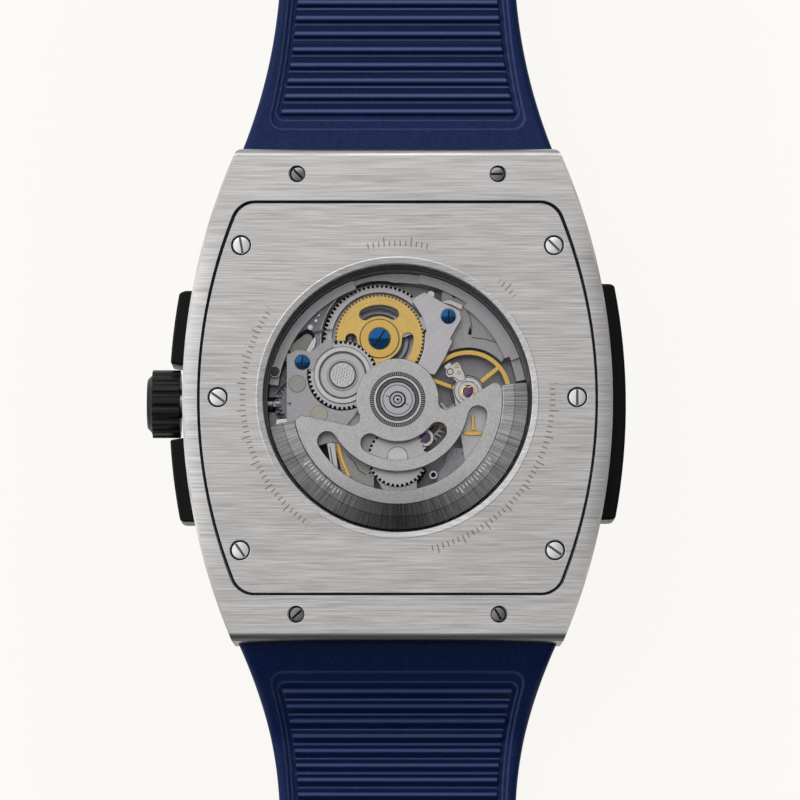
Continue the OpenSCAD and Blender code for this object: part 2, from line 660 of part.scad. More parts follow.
module balance_cock() color([0.66, 0.66, 0.67]) difference() {
    union() {
        slab(bridge_z + 0.1, bridge_top) {
            translate(BALANCE) circle(1.5);
            polygon([for (p = [[5.63, 0.5], [8.43, 0.4], [10.4, -3.9], [9.7, -6.6], [8.4, -7.9],
                [6.9, -7.2], [6.5, -4.8]]) laid(p)]);
        }
        stud(COCK_FOOT, 0.9, deck_z, bridge_z + 0.2);
    }
    post(BALANCE, 0.62, bridge_z, bridge_top + 1);
    stud(COCK_FOOT, 0.3, deck_z - 1, bridge_top + 1);
    post(COCK_FOOT, 0.8, bridge_top - 0.25, bridge_top + 1);
}

module bridge_screws() color([0.12, 0.35, 0.65]) {
    for (s = [[LEFT_FOOT, shelf_top, 88], [LOW_LEFT_FOOT, shelf_top, 20], [RIGHT_FOOT, bridge_top + 0.35, 85],
        [COCK_FOOT, bridge_top, 40]])
        translate([s[0][0], s[0][1], s[1]]) screw(0.73, 0.25, 0.29, s[1] - deck_z + 0.5, s[2]);
}

module jewels() color([0.5, 0.1, 0.35]) {
    for (p = [THIRD, ESCAPE]) translate([p[0], p[1], deck_z - 0.4]) difference() {
        cylinder(r = 0.58, h = 0.3);
        translate([0, 0, -1]) cylinder(r = arbor_r + fit, h = 2, $fn = 12);
    }
    post(BALANCE, 0.6, bridge_top - 0.45, bridge_top - 0.1);
}

// Flat spiral strip, widening as it is wound out
module spiral(r0, r1, coils, w, steps) {
    n = coils * steps;
    function at(i, side) = let (r = r0 + (r1 - r0) * i / n + side * w / 2, a = i * 360 / steps)
        r * [cos(a), sin(a)];
    polygon([for (i = [0:n]) at(i, 1), for (i = [n:-1:0]) at(i, -1)]);
}

module mainspring_barrel() color([0.78, 0.78, 0.77]) translate([BARREL[0], BARREL[1], 0]) {
    slab(barrel_z, barrel_z + 0.2) difference() {
        circle(barrel_pr - 0.35);
        circle(barrel_arbor_r + fit, $fn = 12);
    }
    slab(barrel_teeth_z, barrel_teeth_z + barrel_teeth_h) difference() {
        teeth(barrel_n, barrel_pr, 0);
        circle(barrel_pr - 0.7);
    }
    slab(barrel_z + 0.2, barrel_z + barrel_h) difference() {
        circle(barrel_pr - 0.35);
        circle(barrel_pr - 0.75);
    }
}
module mainspring() color([0.3, 0.3, 0.34]) translate([BARREL[0], BARREL[1], 0])
    slab(barrel_z + 0.35, barrel_z + barrel_h - 0.1)
        spiral(barrel_arbor_r + 0.3, barrel_pr - 1.0, mainspring_coils, 0.16, 24);

module center_wheel() color([0.79, 0.68, 0.42]) difference() {
    union() {
        wheel(CENTER, center_n, center_pr, 0, center_z, wheel_t, 4, 0.9);
        pinion(CENTER, center_pinion_n, center_pinion_pr, center_pinion_turn,
            center_z + wheel_t, barrel_teeth_z + barrel_teeth_h + 0.1);
        stud(CENTER, center_arbor_r, minute_z, center_z + 0.1);
    }
    stud(CENTER, center_bore_r, minute_z - 1, third_z);
}
module third_wheel() color([0.79, 0.68, 0.42]) {
    wheel(THIRD, third_n, third_pr, 0, third_z, wheel_t, 4, 0.6);
    pinion(THIRD, third_pinion_n, third_pinion_pr, third_pinion_turn, deck_z + 0.1, center_z + wheel_t + 0.2);
    stud(THIRD, arbor_r, deck_z - 0.5, bridge_z + 0.4);
}
module fourth_wheel() color([0.79, 0.68, 0.42]) {
    wheel(CENTER, fourth_n, fourth_pr, 0, fourth_z, wheel_t, 4, 0.5);
    pinion(CENTER, fourth_pinion_n, fourth_pinion_pr, fourth_pinion_turn, third_z - 0.08, fourth_z);
    stud(CENTER, seconds_r, seconds_z + 0.05, bridge_z + 0.12);
}
module escape_wheel() color([0.75, 0.75, 0.76]) {
    translate([ESCAPE[0], ESCAPE[1], escape_z]) linear_extrude(wheel_t) {
        difference() {
            polygon([for (i = [0:escape_n - 1], k = [[0, 1.32], [0.42, 1.85], [0.6, 1.8], [0.55, 1.32]])
                let (a = (i + k[0]) * 360 / escape_n) k[1] * [cos(a), sin(a)]]);
            circle(1.1, $fn = 24);
        }
        for (i = [0:3]) rotate(i * 90) translate([0, -0.12]) square([1.2, 0.24]);
        circle(0.45, $fn = 12);
    }
    pinion(ESCAPE, escape_pinion_n, escape_pinion_pr, escape_pinion_turn, fourth_z - 0.1, fourth_z + wheel_t + 0.1);
    stud(ESCAPE, arbor_r, deck_z - 0.3, bridge_z + 0.4);
}
module pallet_fork() color([0.7, 0.7, 0.72]) {
    slab(escape_z, escape_z + wheel_t) {
        strut(PALLET + [0, -0.16], BALANCE + [-0.75, -0.5], 0.3);
        translate(PALLET) circle(0.34, $fn = 12);
        translate(PALLET) rotate(toward(PALLET, ESCAPE) + 90) translate([-0.95, -0.13]) square([1.9, 0.26]);
    }
    post(PALLET, arbor_r - 0.04, deck_z + 0.05, escape_z + 0.5);
}
module balance_wheel() color([0.79, 0.68, 0.42]) {
    translate([BALANCE[0], BALANCE[1], balance_z]) linear_extrude(balance_t) {
        difference() {
            circle(balance_r);
            circle(balance_r - balance_rim_w);
        }
        for (i = [0:2]) rotate(40 + i * 120) translate([0, -0.2]) square([balance_r - 0.2, 0.4]);
        circle(0.7);
    }
    stud(BALANCE, arbor_r - 0.04, deck_z + 0.05, bridge_z + 0.08);
}
module hairspring() color([0.45, 0.5, 0.6]) translate([BALANCE[0], BALANCE[1], 0])
    slab(balance_z + balance_t + 0.12, balance_z + balance_t + 0.3)
        spiral(0.35, 1.9, hairspring_coils, 0.06, 20);

module regulator() color([0.8, 0.65, 0.35]) slab(bridge_top, bridge_top + 0.15) difference() {
    union() {
        translate(BALANCE) circle(0.95);
        strut(BALANCE, laid([4.9, 3.7]), 0.7);
    }
    translate(BALANCE) circle(0.62);
}

module ratchet_wheel() color([0.79, 0.69, 0.44]) {
    translate([BARREL[0], BARREL[1], ratchet_z]) linear_extrude(ratchet_t) difference() {
        teeth(ratchet_n, ratchet_pr, 0);
        for (i = [0:2]) rotate(181 + 120 * i) slot_arc(2.25, 3.4, 30);
        circle(0.4, $fn = 12);
    }
    difference() {
        stud(BARREL, barrel_arbor_r, deck_z + 0.05, ratchet_z);
        stud(BARREL, 0.35, bridge_z - 1, ratchet_z + 1);
    }
}
module ratchet_screw() color([0.12, 0.35, 0.65])
    translate([BARREL[0], BARREL[1], ratchet_z + ratchet_t + 0.22]) screw(1.08, 0.22, 0.34, 1.1, 57);

module crown_wheel() color([0.65, 0.65, 0.66]) translate([CROWN_WHEEL[0], CROWN_WHEEL[1], 0]) {
    slab(deck_z - 0.85, deck_z - 0.55) circle(contrate_pr + 0.35);
    slab(deck_z - 0.56, crown_z - winding_pr + 0.01) for (i = [0:contrate_n - 1])
        rotate((i + 0.5) * 360 / contrate_n) translate([contrate_pr - 0.3, -0.06]) square([0.6, 0.12]);
    stud([0, 0], 0.3, plate_z + 0.1, bridge_z + 0.5);
    pinion([0, 0], crown_upper_n, crown_upper_pr, 0, idle_z, idle_z + idle_t);
}

module reverser_wheel() color([0.7, 0.7, 0.69]) difference() {
    union() {
        pinion(REVERSER, reverser_n, reverser_pr, reverser_turn, auto_z, auto_z + auto_t);
        post(REVERSER, 2.85, auto_z + auto_t, shelf_top - 0.1);
        post(REVERSER, 1.27, shelf_top - 0.2, shelf_top);
    }
    translate([0, 0, shelf_top - 0.2]) slab(0, 1) translate(REVERSER) difference() {
        circle(2.26);
        circle(1.35);
    }
    stud(REVERSER, arbor_r + 0.1, auto_z - 1, auto_z + 0.25);
}
module reverser_pinion() color([0.6, 0.6, 0.6]) {
    pinion(REVERSER, reverser_pinion_n, reverser_pinion_pr, reverser_pinion_turn,
        ratchet_z - 0.04, ratchet_z + ratchet_t);
    pinion(REVERSER, idle_n, idle_pr, idle_turn, idle_z, idle_z + idle_t);
    stud(REVERSER, arbor_r, idle_z, auto_z + 0.2);
}
module winding_idler() color([0.72, 0.72, 0.72]) difference() {
    union() {
        pinion(IDLER, idler_n, idler_pr, idler_turn, auto_z, auto_z + auto_t);
        post(IDLER, 1.04, auto_z + auto_t, shelf_top - 0.2);
    }
}

// Rotor outline, drawn hanging straight down
arm_at = [5.05, -1.76];
arm_rise = 21.7;
tip_r = 0.7;
notch_r = 0.8;
module end_kite() {
    d = [cos(arm_rise), sin(arm_rise)];
    n = [d[1], -d[0]];
    p = arm_at + n * tip_r;
    b = p * d;
    t = -b + sqrt(pow(b, 2) - p * p + pow(rim_in_r - tip_r, 2));
    c = p + t * d;
    difference() {
        polygon([c, c - n * 2 * tip_r, c + 3 * tip_r * d - n * 2 * tip_r, c * (rim_in_r + 2) / rim_in_r]);
        translate(c) circle(tip_r);
    }
}
module slot_arc(r0, r1, half) {
    rm = (r0 + r1) / 2;
    rr = (r1 - r0) / 2;
    function out(a) = [sin(a), -cos(a)];
    function along(a) = [cos(a), sin(a)];
    function end(a, s) = [for (i = [1:11]) let (t = i * 15)
        rm * out(a) + s * rr * (cos(t) * out(a) + sin(t) * along(a))];
    arc = [for (i = [0:24]) half * (i / 12 - 1)];
    polygon(concat([for (a = arc) r1 * out(a)], end(half, 1), [for (a = arc) r0 * out(-a)], end(-half, -1)));
}
module rotor_outline() {
    fillet_at = arm_at - notch_r * [sin(arm_rise), -cos(arm_rise)];
    far = arm_at + 6 * [cos(arm_rise), sin(arm_rise)];
    difference() {
        union() {
            circle(rotor_hub_r);
            intersection() {
                circle(rim_in_r);
                polygon([[0, 0], fillet_at, arm_at, far, [far[0], -14], [-far[0], -14],
                    [-far[0], far[1]], [-arm_at[0], arm_at[1]], [-fillet_at[0], fillet_at[1]]]);
            }
        }
        for (m = [0, 1]) mirror([m, 0]) {
            translate(fillet_at) circle(notch_r);
            end_kite();
        }
        slot_arc(rotor_hub_r + 0.1, 6, 42);
        slot_arc(7.15, 9.05, 69);
    }
}
race_r = 2.5;
module rotor_plate() color([0.63, 0.63, 0.63]) slab(rotor_z, rotor_top) rotate(rotor_turn) difference() {
    rotor_outline();
    circle(race_r);
}
module rotor_rim() color([0.4, 0.4, 0.4]) rotate(rotor_turn) {
    slab(rotor_top - rim_t, rotor_top) arch([0, 0], rim_in_r, rotor_r, 270 - 88.2, 270 + 88.2);
    slab(rotor_top - rim_t, rotor_z) arch([0, 0], rim_in_r - 0.6, rim_in_r + 0.1, 270 - 86, 270 + 86);
}
module rotor_gear() color([0.6, 0.6, 0.6]) difference() {
    union() {
        pinion(CENTER, rotor_gear_n, rotor_gear_pr, 0, auto_z, auto_z + auto_t);
        post(CENTER, race_r, auto_z + auto_t, rotor_top);
    }
    post(CENTER, 2.15, auto_z - 1, rotor_top + 1);
}
module rotor_bearing() color([0.68, 0.68, 0.68]) difference() {
    union() {
        post(CENTER, 0.9, bridge_top, shelf_top);
        post(CENTER, 1.74, shelf_top, rotor_top - 0.1);
        post(CENTER, 0.74, rotor_top - 0.2, rotor_top + 0.1);
    }
    post(CENTER, 0.2, rotor_top - 0.3, rotor_top + 1);
    rotate(-22) translate([-1.6, -0.05, rotor_top - 0.2]) cube([3.2, 0.1, 1]);
}
module bearing_balls() color([0.75, 0.75, 0.76])
    for (i = [0:10]) rotate(i * 360 / 11) translate([1.945, 0, rotor_top - 0.6]) sphere(0.17);

// Dial side, which faces down to the front glass
hour_z = dial_z - 0.85;
minute_z = dial_z - 1.25;
seconds_z = dial_z - 1.65;
hand_t = 0.15;
mark_h = 0.3;
mark_in_r = 9.6;
mark_out_r = 12.4;

module dial() color([0.05, 0.12, 0.3]) difference() {
    slab(dial_z, plate_z) tonneau(dial_len, dial_w, dial_end_w, 2);
    stud([0, 0], hour_tube_r + run, dial_z - 1, plate_z + 1);
}
module hour_marks() color([0.8, 0.8, 0.8]) slab(dial_z - mark_h, dial_z) for (i = [0:11])
    rotate(i * 30) translate([-0.45, mark_in_r]) square([0.9, mark_out_r - mark_in_r]);
module hour_hand() color([0.8, 0.8, 0.8]) difference() {
    union() {
        slab(hour_z, hour_z + hand_t) rotate(-60)
            polygon([[-0.5, 0], [-0.9, 5.6], [0, 7.6], [0.9, 5.6], [0.5, 0]]);
        stud([0, 0], hour_tube_r, hour_z, plate_z + 0.9);
    }
    stud([0, 0], hour_bore_r, hour_z - 1, plate_z + 2);
}
module minute_hand() color([0.8, 0.8, 0.8]) difference() {
    union() {
        slab(minute_z, minute_z + hand_t) rotate(60)
            polygon([[-0.5, 0], [-0.75, 9], [0, 11.2], [0.75, 9], [0.5, 0]]);
        stud([0, 0], 0.8, minute_z, minute_z + hand_t);
    }
    stud([0, 0], center_arbor_r, minute_z - 1, minute_z + 1);
}
module seconds_hand() color([0.75, 0.1, 0.1]) difference() {
    union() {
        slab(seconds_z, seconds_z + hand_t) rotate(170)
            polygon([[-0.35, -3.4], [-0.1, 12], [0.1, 12], [0.35, -3.4]]);
        stud([0, 0], 0.65, seconds_z, seconds_z + hand_t);
    }
    stud([0, 0], seconds_r, seconds_z + 0.05, seconds_z + 1);
}

// Strap: where it lies, how it leaves the case, and where it bends
keeper_wall = 0.8;
lie_z = keeper_wall + strap_t + 0.2;
root_top = plate_z + strap_root_t;
buckle_shoulder_len = 21;
hole_shoulder_len = 17.5;
settle_len = 12;
drop_len = 10;
buckle_bend = [14, 44];
hole_bend = [12, 44];
bend_gap = 0.12;
bend_up = 50;
bend_down = 5;
case_end = case_len / 2;
pin_z = lie_z + strap_t / 2;
eye_r = 1.8;
slot_w = 3.4;
slot_len = 5;

function shoulder(len) = len > buckle_half_len ? hole_shoulder_len : buckle_shoulder_len;
function half_w(u, len) = u < shoulder(len)
    ? strap_w / 2 + (strap_root_w - strap_w) / 2 * pow(1 - u / shoulder(len), 2)
    : strap_w / 2 + (strap_end_w - strap_w) / 2 * (u - shoulder(len)) / (len - shoulder(len));
function settle(u) = pow(max(0, 1 - u / settle_len), 2);
function buckle_face(u) = [plate_z + (lie_z - plate_z) * min(1, u / settle_len),
    lie_z + strap_t + (root_top - lie_z - strap_t) * settle(u)];
function ease(k) = k * k * (3 - 2 * k);
function hole_face(u) =
    let (k = min(1, u / drop_len), mid = strap_axis_z, fall = mid - strap_t / 2,
        slope = fall * 6 * k * (1 - k) / drop_len, t = strap_t + (strap_root_t - strap_t) * pow(1 - k, 2),
        half = t / 2 * sqrt(1 + slope * slope))
    [mid - fall * ease(k) - half, mid - fall * ease(k) + half];

// Side view of one strap section, with a round knuckle at its start and a socket at its end
module side_view(faces, us) polygon([for (i = [0:len(us) - 1]) [us[i], faces[i][0]],
    for (i = [len(us) - 1:-1:0]) [us[i], faces[i][1]]]);
module socket(u, z) {
    top = strap_t / 2 * tan(bend_up / 2) + 0.25;
    low = strap_t / 2 * tan(bend_down / 2) + 0.25;
    translate([u, z]) {
        circle(strap_t / 2 + bend_gap);
        polygon([[0, 0], [-top, strap_t / 2 + 0.01], [1, strap_t / 2 + 0.01],
            [1, -strap_t / 2 - 0.01], [-low, -strap_t / 2 - 0.01]]);
    }
}
module across(w) rotate([90, 0, 90]) translate([0, 0, -w / 2]) linear_extrude(w) children();
module plan_view(u0, u1, len) slab(-1, 20) {
    us = [for (i = [0:12]) u0 + (u1 - u0) * i / 12];
    polygon([for (u = us) [half_w(u, len), u], for (i = [12:-1:0]) [-half_w(us[i], len), us[i]]]);
}
tip_round_r = strap_end_w * 0.72;
module at_end(s) mirror([0, s]) translate([0, s > 0 ? six_end : case_end, 0]) children();
module root_tongue() difference() {
    translate([-tongue_w / 2, -tongue_in, strap_axis_z - tongue_t / 2]) cube([tongue_w, tongue_in + 0.5, tongue_t]);
    for (s = [-1, 1]) post([strap_screw_x * s, strap_screw_y - case_end], back_shank_r, strap_axis_z - 5, strap_axis_z + 5);
}

module strap_root(bend_u, bend_z, face_list, us, len) {
    intersection() {
        across(60) difference() {
            side_view(face_list, us);
            socket(bend_u, bend_z);
        }
        plan_view(0, bend_u + 0.01, len);
    }
    root_tongue();
}
root_us = [for (i = [0:12]) i];
module strap_buckle_root() color([0.05, 0.1, 0.24]) at_end(0) {
    us = concat(root_us, [buckle_bend[0]]);
    strap_root(buckle_bend[0], pin_z, [for (u = us) buckle_face(u)], us, buckle_half_len);
}
module strap_holes_root() color([0.05, 0.1, 0.24]) at_end(1)
    strap_root(hole_bend[0], strap_t / 2, [for (u = root_us) hole_face(u)], root_us, hole_half_len);

// A flat section between two bends
module strap_run(u0, u1, z, len) intersection() {
    across(60) difference() {
        union() {
            translate([u0, z - strap_t / 2]) square([u1 - u0, strap_t]);
            translate([u0, z]) circle(strap_t / 2);
        }
        socket(u1, z);
    }
    plan_view(u0 - strap_t / 2, u1 + 0.01, len);
}
module strap_buckle_mid() color([0.05, 0.1, 0.24]) at_end(0)
    strap_run(buckle_bend[0], buckle_bend[1], pin_z, buckle_half_len);
module strap_holes_mid() color([0.05, 0.1, 0.24]) at_end(1)
    strap_run(hole_bend[0], hole_bend[1], strap_t / 2, hole_half_len);

module strap_buckle_end() color([0.05, 0.1, 0.24]) at_end(0) difference() {
    u1 = buckle_half_len;
    intersection() {
        across(60) {
            translate([buckle_bend[1], lie_z]) square([u1 - buckle_bend[1], strap_t]);
            translate([buckle_bend[1], pin_z]) circle(strap_t / 2);
            translate([u1, pin_z]) circle(eye_r);
        }
        plan_view(buckle_bend[1] - strap_t / 2, u1 + eye_r, u1);
    }
    across(60) translate([u1, pin_z]) circle(buckle_pin_d / 2);
    translate([-slot_w / 2, u1 - slot_len, 0]) cube([slot_w, slot_len + 4, 20]);
}
module strap_holes_end() color([0.05, 0.1, 0.24]) at_end(1) difference() {
    intersection() {
        across(60) {
            translate([hole_bend[1], 0]) square([hole_half_len - hole_bend[1], strap_t]);
            translate([hole_bend[1], strap_t / 2]) circle(strap_t / 2);
        }
        plan_view(hole_bend[1] - strap_t / 2, hole_half_len, hole_half_len);
        union() {
            post([0, hole_half_len - tip_round_r], tip_round_r, -1, 20);
            translate([-strap_w, 0, -1]) cube([2 * strap_w, hole_half_len - tip_round_r, 21]);
        }
    }
    for (i = [0:hole_count - 1])
        post([0, hole_half_len - 22 - i * hole_pitch], hole_d / 2, -1, strap_t + 1);
}

// Buckle
frame_gap = 0.4;
frame_arm_w = 2;
frame_t = 2.4;
frame_reach = 10;
frame_bar_w = 2.2;
tongue_ring_r = 1.35;
tongue_blade_w = 1.8;
arm_x = strap_end_w / 2 + frame_gap;

module buckle_frame() color([0.75, 0.75, 0.76]) at_end(0) translate([0, buckle_half_len, pin_z])
    difference() {
        union() {
            for (s = [0, 1]) mirror([s, 0, 0]) {
                translate([arm_x, 0, -frame_t / 2]) cube([frame_arm_w, frame_reach, frame_t]);
                translate([arm_x, 0, 0]) rotate([0, 90, 0]) cylinder(r = frame_t / 2, h = frame_arm_w);
            }
            translate([-arm_x - frame_arm_w, frame_reach - frame_bar_w, -frame_t / 2])
                cube([2 * (arm_x + frame_arm_w), frame_bar_w, frame_t]);
        }
        translate([-40, 0, 0]) rotate([0, 90, 0]) cylinder(r = buckle_pin_d / 2 + fit, h = 80);
    }
module buckle_tongue() color([0.78, 0.78, 0.79]) at_end(0) translate([0, buckle_half_len, pin_z])
    across(tongue_blade_w) difference() {
        union() {
            circle(tongue_ring_r);
            polygon([[0, -tongue_ring_r], [frame_reach - frame_bar_w - 0.5, -frame_t / 2 - 0.95],
                [frame_reach + 0.6, -frame_t / 2 - 0.95], [frame_reach + 0.8, -frame_t / 2 - 0.1],
                [frame_reach - frame_bar_w - 0.3, -frame_t / 2 - 0.1], [0.6, 0.7]]);
        }
        circle(buckle_pin_d / 2 + fit);
    }
module buckle_pin() color([0.7, 0.7, 0.7]) at_end(0)
    translate([-arm_x - frame_arm_w, buckle_half_len, pin_z]) rotate([0, 90, 0])
        cylinder(r = buckle_pin_d / 2, h = 2 * (arm_x + frame_arm_w));

// Keepers, closed bands with room below the strap for its other half
keeper_len = 5;
keeper_side = 1.1;
fixed_keeper_u = buckle_half_len - 11;
free_keeper_u = buckle_bend[1] + 5;
keeper_top = lie_z + strap_t;
module keeper(u, side_gap, top_gap) {
    w = half_w(u, buckle_half_len) + side_gap;
    translate([0, u + keeper_len / 2, 0]) rotate([90, 0, 0]) linear_extrude(keeper_len) difference() {
        translate([-w - keeper_side, 0]) square([2 * (w + keeper_side), keeper_top + top_gap + keeper_wall]);
        translate([-w, keeper_wall]) square([2 * w, keeper_top + top_gap - keeper_wall]);
    }
}
module keeper_fixed() color([0.04, 0.08, 0.2]) at_end(0) keeper(fixed_keeper_u, 0.05, 0);
module keeper_free() color([0.04, 0.08, 0.2]) at_end(0)
    keeper(free_keeper_u, keeper_side_gap, run);

case_middle();
bezel();
bezel_screws();
front_crystal();
crystal_gasket();
case_back();
case_back_screws();
back_crystal();
back_gasket();
strap_screws();
side_guard();
crown_guards();
crown_tube();
crown();
winding_stem();
winding_pinion();
movement_ring();
main_plate();
train_bridge();
barrel_bridge();
balance_cock();
bridge_screws();
jewels();
mainspring_barrel();
mainspring();
center_wheel();
third_wheel();
fourth_wheel();
escape_wheel();
pallet_fork();
balance_wheel();
hairspring();
regulator();
ratchet_wheel();
ratchet_screw();
crown_wheel();
reverser_wheel();
reverser_pinion();
winding_idler();
rotor_plate();
rotor_rim();
rotor_gear();
rotor_bearing();
bearing_balls();
dial();
hour_marks();
hour_hand();
minute_hand();
seconds_hand();
strap_buckle_root();
strap_buckle_mid();
strap_buckle_end();
strap_holes_root();
strap_holes_mid();
strap_holes_end();
buckle_frame();
buckle_tongue();
buckle_pin();
keeper_fixed();
keeper_free();
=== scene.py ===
"""Looks of an automatic watch that lies face down with its glass back and open strap upwards.

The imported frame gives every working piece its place. This script dresses each of them: turned and
barrel-shaped parts are worked out here as surfaces, flat and toothed parts take their bevelled form
from the frame, and every piece gets a procedural finish.
"""

import json
import logging
import math
from dataclasses import dataclass
from enum import Enum
from typing import Callable, ClassVar, Sequence
import bmesh  # noqa: E402
import bpy  # noqa: E402
import numpy as np  # noqa: E402
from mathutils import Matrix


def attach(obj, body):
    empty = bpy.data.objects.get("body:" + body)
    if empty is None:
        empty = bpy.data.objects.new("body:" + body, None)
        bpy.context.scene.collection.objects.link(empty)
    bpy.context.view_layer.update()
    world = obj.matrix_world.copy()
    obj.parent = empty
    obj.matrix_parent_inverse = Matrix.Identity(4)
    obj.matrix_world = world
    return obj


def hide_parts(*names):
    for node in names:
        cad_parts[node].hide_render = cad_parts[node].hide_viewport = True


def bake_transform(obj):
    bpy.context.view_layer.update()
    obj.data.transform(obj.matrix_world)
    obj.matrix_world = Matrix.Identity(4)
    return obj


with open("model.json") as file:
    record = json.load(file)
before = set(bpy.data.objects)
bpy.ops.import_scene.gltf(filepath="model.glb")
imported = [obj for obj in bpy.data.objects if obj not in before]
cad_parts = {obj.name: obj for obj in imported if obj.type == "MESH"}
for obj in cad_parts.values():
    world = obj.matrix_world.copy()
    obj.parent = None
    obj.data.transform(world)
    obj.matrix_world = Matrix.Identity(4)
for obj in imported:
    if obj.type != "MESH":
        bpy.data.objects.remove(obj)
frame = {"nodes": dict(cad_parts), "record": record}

LOG = logging.getLogger("watch")
MM = 0.001
Vec = Sequence[float]
Colour = tuple[float, float, float]

# Centres of the wheels on which fittings stand, in millimetres
BARREL = (-1.8, 6.3)
REVERSER = (-5.46, 2.575)
IDLER = (0.0, -5.584)
BALANCE = (7.03, 1.0)

TURNED = 24.0  # degrees; edges of turned fittings that are sharper than this stay crisp


def srgb(red: float, green: float, blue: float) -> Colour:
    """Turn display values from 0 to 255 into the linear colour that renders as them."""
    shares = np.array([red, green, blue]) / 255.0
    low = shares / 12.92
    high = ((shares + 0.055) / 1.055) ** 2.4
    return tuple(float(v) for v in np.where(shares <= 0.04045, low, high))


# Meshes


def make_object(name: str, mesh: bpy.types.Mesh) -> bpy.types.Object:
    """Put a mesh into the scene as an object at the origin."""
    thing = bpy.data.objects.new(name, mesh)
    bpy.context.scene.collection.objects.link(thing)
    return thing


def shade(mesh: bpy.types.Mesh, angle_deg: float = 32.0) -> None:
    """Shade a mesh smooth, with edges sharper than the angle kept crisp.

    Args:
        mesh: the mesh to shade.
        angle_deg: the angle between two faces above which their edge stays sharp.
    """
    work = bmesh.new()
    work.from_mesh(mesh)
    limit = math.radians(angle_deg)
    for face in work.faces:
        face.smooth = True
    for edge in work.edges:
        edge.smooth = len(edge.link_faces) == 2 and edge.calc_face_angle(0.0) < limit
    work.to_mesh(mesh)
    work.free()


def grid_mesh(name: str, points: np.ndarray, wrap_u: bool = False, wrap_v: bool = False,
              caps: bool = False, angle_deg: float = 32.0) -> bpy.types.Object:
    """Build one surface from a grid of points.

    Args:
        name: the piece's name.
        points: array (rows, columns, 3) in millimetres; faces point outwards where the row
            direction crossed with the column direction does.
        wrap_u: joins the last row to the first.
        wrap_v: joins the last column to the first.
        caps: closes the first and the last row with one face each.
        angle_deg: the angle above which edges stay sharp.

    Returns:
        The new object.
    """
    rows, cols, _ = points.shape
    at = np.arange(rows * cols).reshape(rows, cols)
    u0 = at if wrap_u else at[:-1]
    u1 = np.roll(at, -1, axis=0) if wrap_u else at[1:]
    if not wrap_v:
        quads = np.stack([u0[:, :-1], u1[:, :-1], u1[:, 1:], u0[:, 1:]], axis=-1)
    else:
        quads = np.stack([u0, u1, np.roll(u1, -1, axis=1), np.roll(u0, -1, axis=1)], axis=-1)
    faces = quads.reshape(-1, 4).tolist()
    if caps:
        faces.append(at[0].tolist())
        faces.append(at[-1][::-1].tolist())
    mesh = bpy.data.meshes.new(name)
    mesh.from_pydata((points.reshape(-1, 3) * MM).tolist(), [], faces)
    mesh.validate()
    shade(mesh, angle_deg)
    return make_object(name, mesh)


def lathe(name: str, profile: Sequence[tuple[float, float]], at: Vec = (0.0, 0.0), steps: int = 128,
          angle_deg: float = 32.0) -> bpy.types.Object:
    """Turn a closed profile about an upright axis.

    Each profile point (r, h) is carried round the circle: x = r cos a, y = r sin a, z = h.

    Args:
        name: the piece's name.
        profile: closed outline of (radius, height) in millimetres, with the solid on its left
            when seen with radius to the right and height up.
        at: where the axis stands, as x and y.
        steps: columns round the circle.
        angle_deg: the angle above which edges stay sharp.

    Returns:
        The new object.
    """
    outline = np.array(profile)
    a = np.linspace(0, 2 * np.pi, steps, endpoint=False)
    r = outline[:, 0][:, None]
    h = np.repeat(outline[:, 1][:, None], steps, axis=1)
    points = np.stack([r * np.cos(a) + at[0], r * np.sin(a) + at[1], h], axis=-1)
    return grid_mesh(name, points[::-1], wrap_u=True, wrap_v=True, angle_deg=angle_deg)


def join(name: str, things: Sequence[bpy.types.Object]) -> bpy.types.Object:
    """Join several objects at the origin into one."""
    work = bmesh.new()
    for thing in things:
        work.from_mesh(thing.data)
        old = thing.data
        bpy.data.objects.remove(thing)
        bpy.data.meshes.remove(old)
    mesh = bpy.data.meshes.new(name)
    work.to_mesh(mesh)
    work.free()
    return make_object(name, mesh)


def freeze(thing: bpy.types.Object) -> None:
    """Replace an object's mesh by what its modifiers make of it."""
    graph = bpy.context.evaluated_depsgraph_get()
    mesh = bpy.data.meshes.new_from_object(thing.evaluated_get(graph))
    thing.modifiers.clear()
    thing.data = mesh


def carve(thing: bpy.types.Object, cutters: Sequence[bpy.types.Object]) -> None:
    """Cut the cutters out of a piece, and remove them."""
    tool = join(thing.name + "_cutter", cutters)
    cut = thing.modifiers.new("cut", "BOOLEAN")
    cut.operation = "DIFFERENCE"
    cut.solver = "MANIFOLD"
    cut.object = tool
    freeze(thing)
    bpy.data.objects.remove(tool)
    shade(thing.data)


def disc_cutter(at: Vec, radius: float, z0: float, z1: float, steps: int = 40) -> bpy.types.Object:
    """A round bar for carving holes, from z0 to z1."""
    return lathe("cutter", [(1e-4, z0), (radius, z0), (radius, z1), (1e-4, z1)], at, steps)


def prism(name: str, outline: Sequence[tuple[float, float]], z0: float, z1: float,
          bevel: float = 0.03) -> bpy.types.Object:
    """A flat plate: an outline in plan, raised from z0 to z1, with small bevels.

    The sign of the outline's area, half the sum of the corners' cross products, tells its sense.
    """
    points = np.array(outline, dtype=float)
    after = np.roll(points, -1, axis=0)
    if (points[:, 0] * after[:, 1] - points[:, 1] * after[:, 0]).sum() < 0:
        points = points[::-1]
    count = len(points)
    rows = np.stack([np.concatenate([points, np.full((count, 1), z)], axis=1) for z in (z0, z1)])
    piece = grid_mesh(name, rows[::-1], wrap_v=True, caps=True)
    if bevel > 0:
        soften(piece, bevel)
    return piece


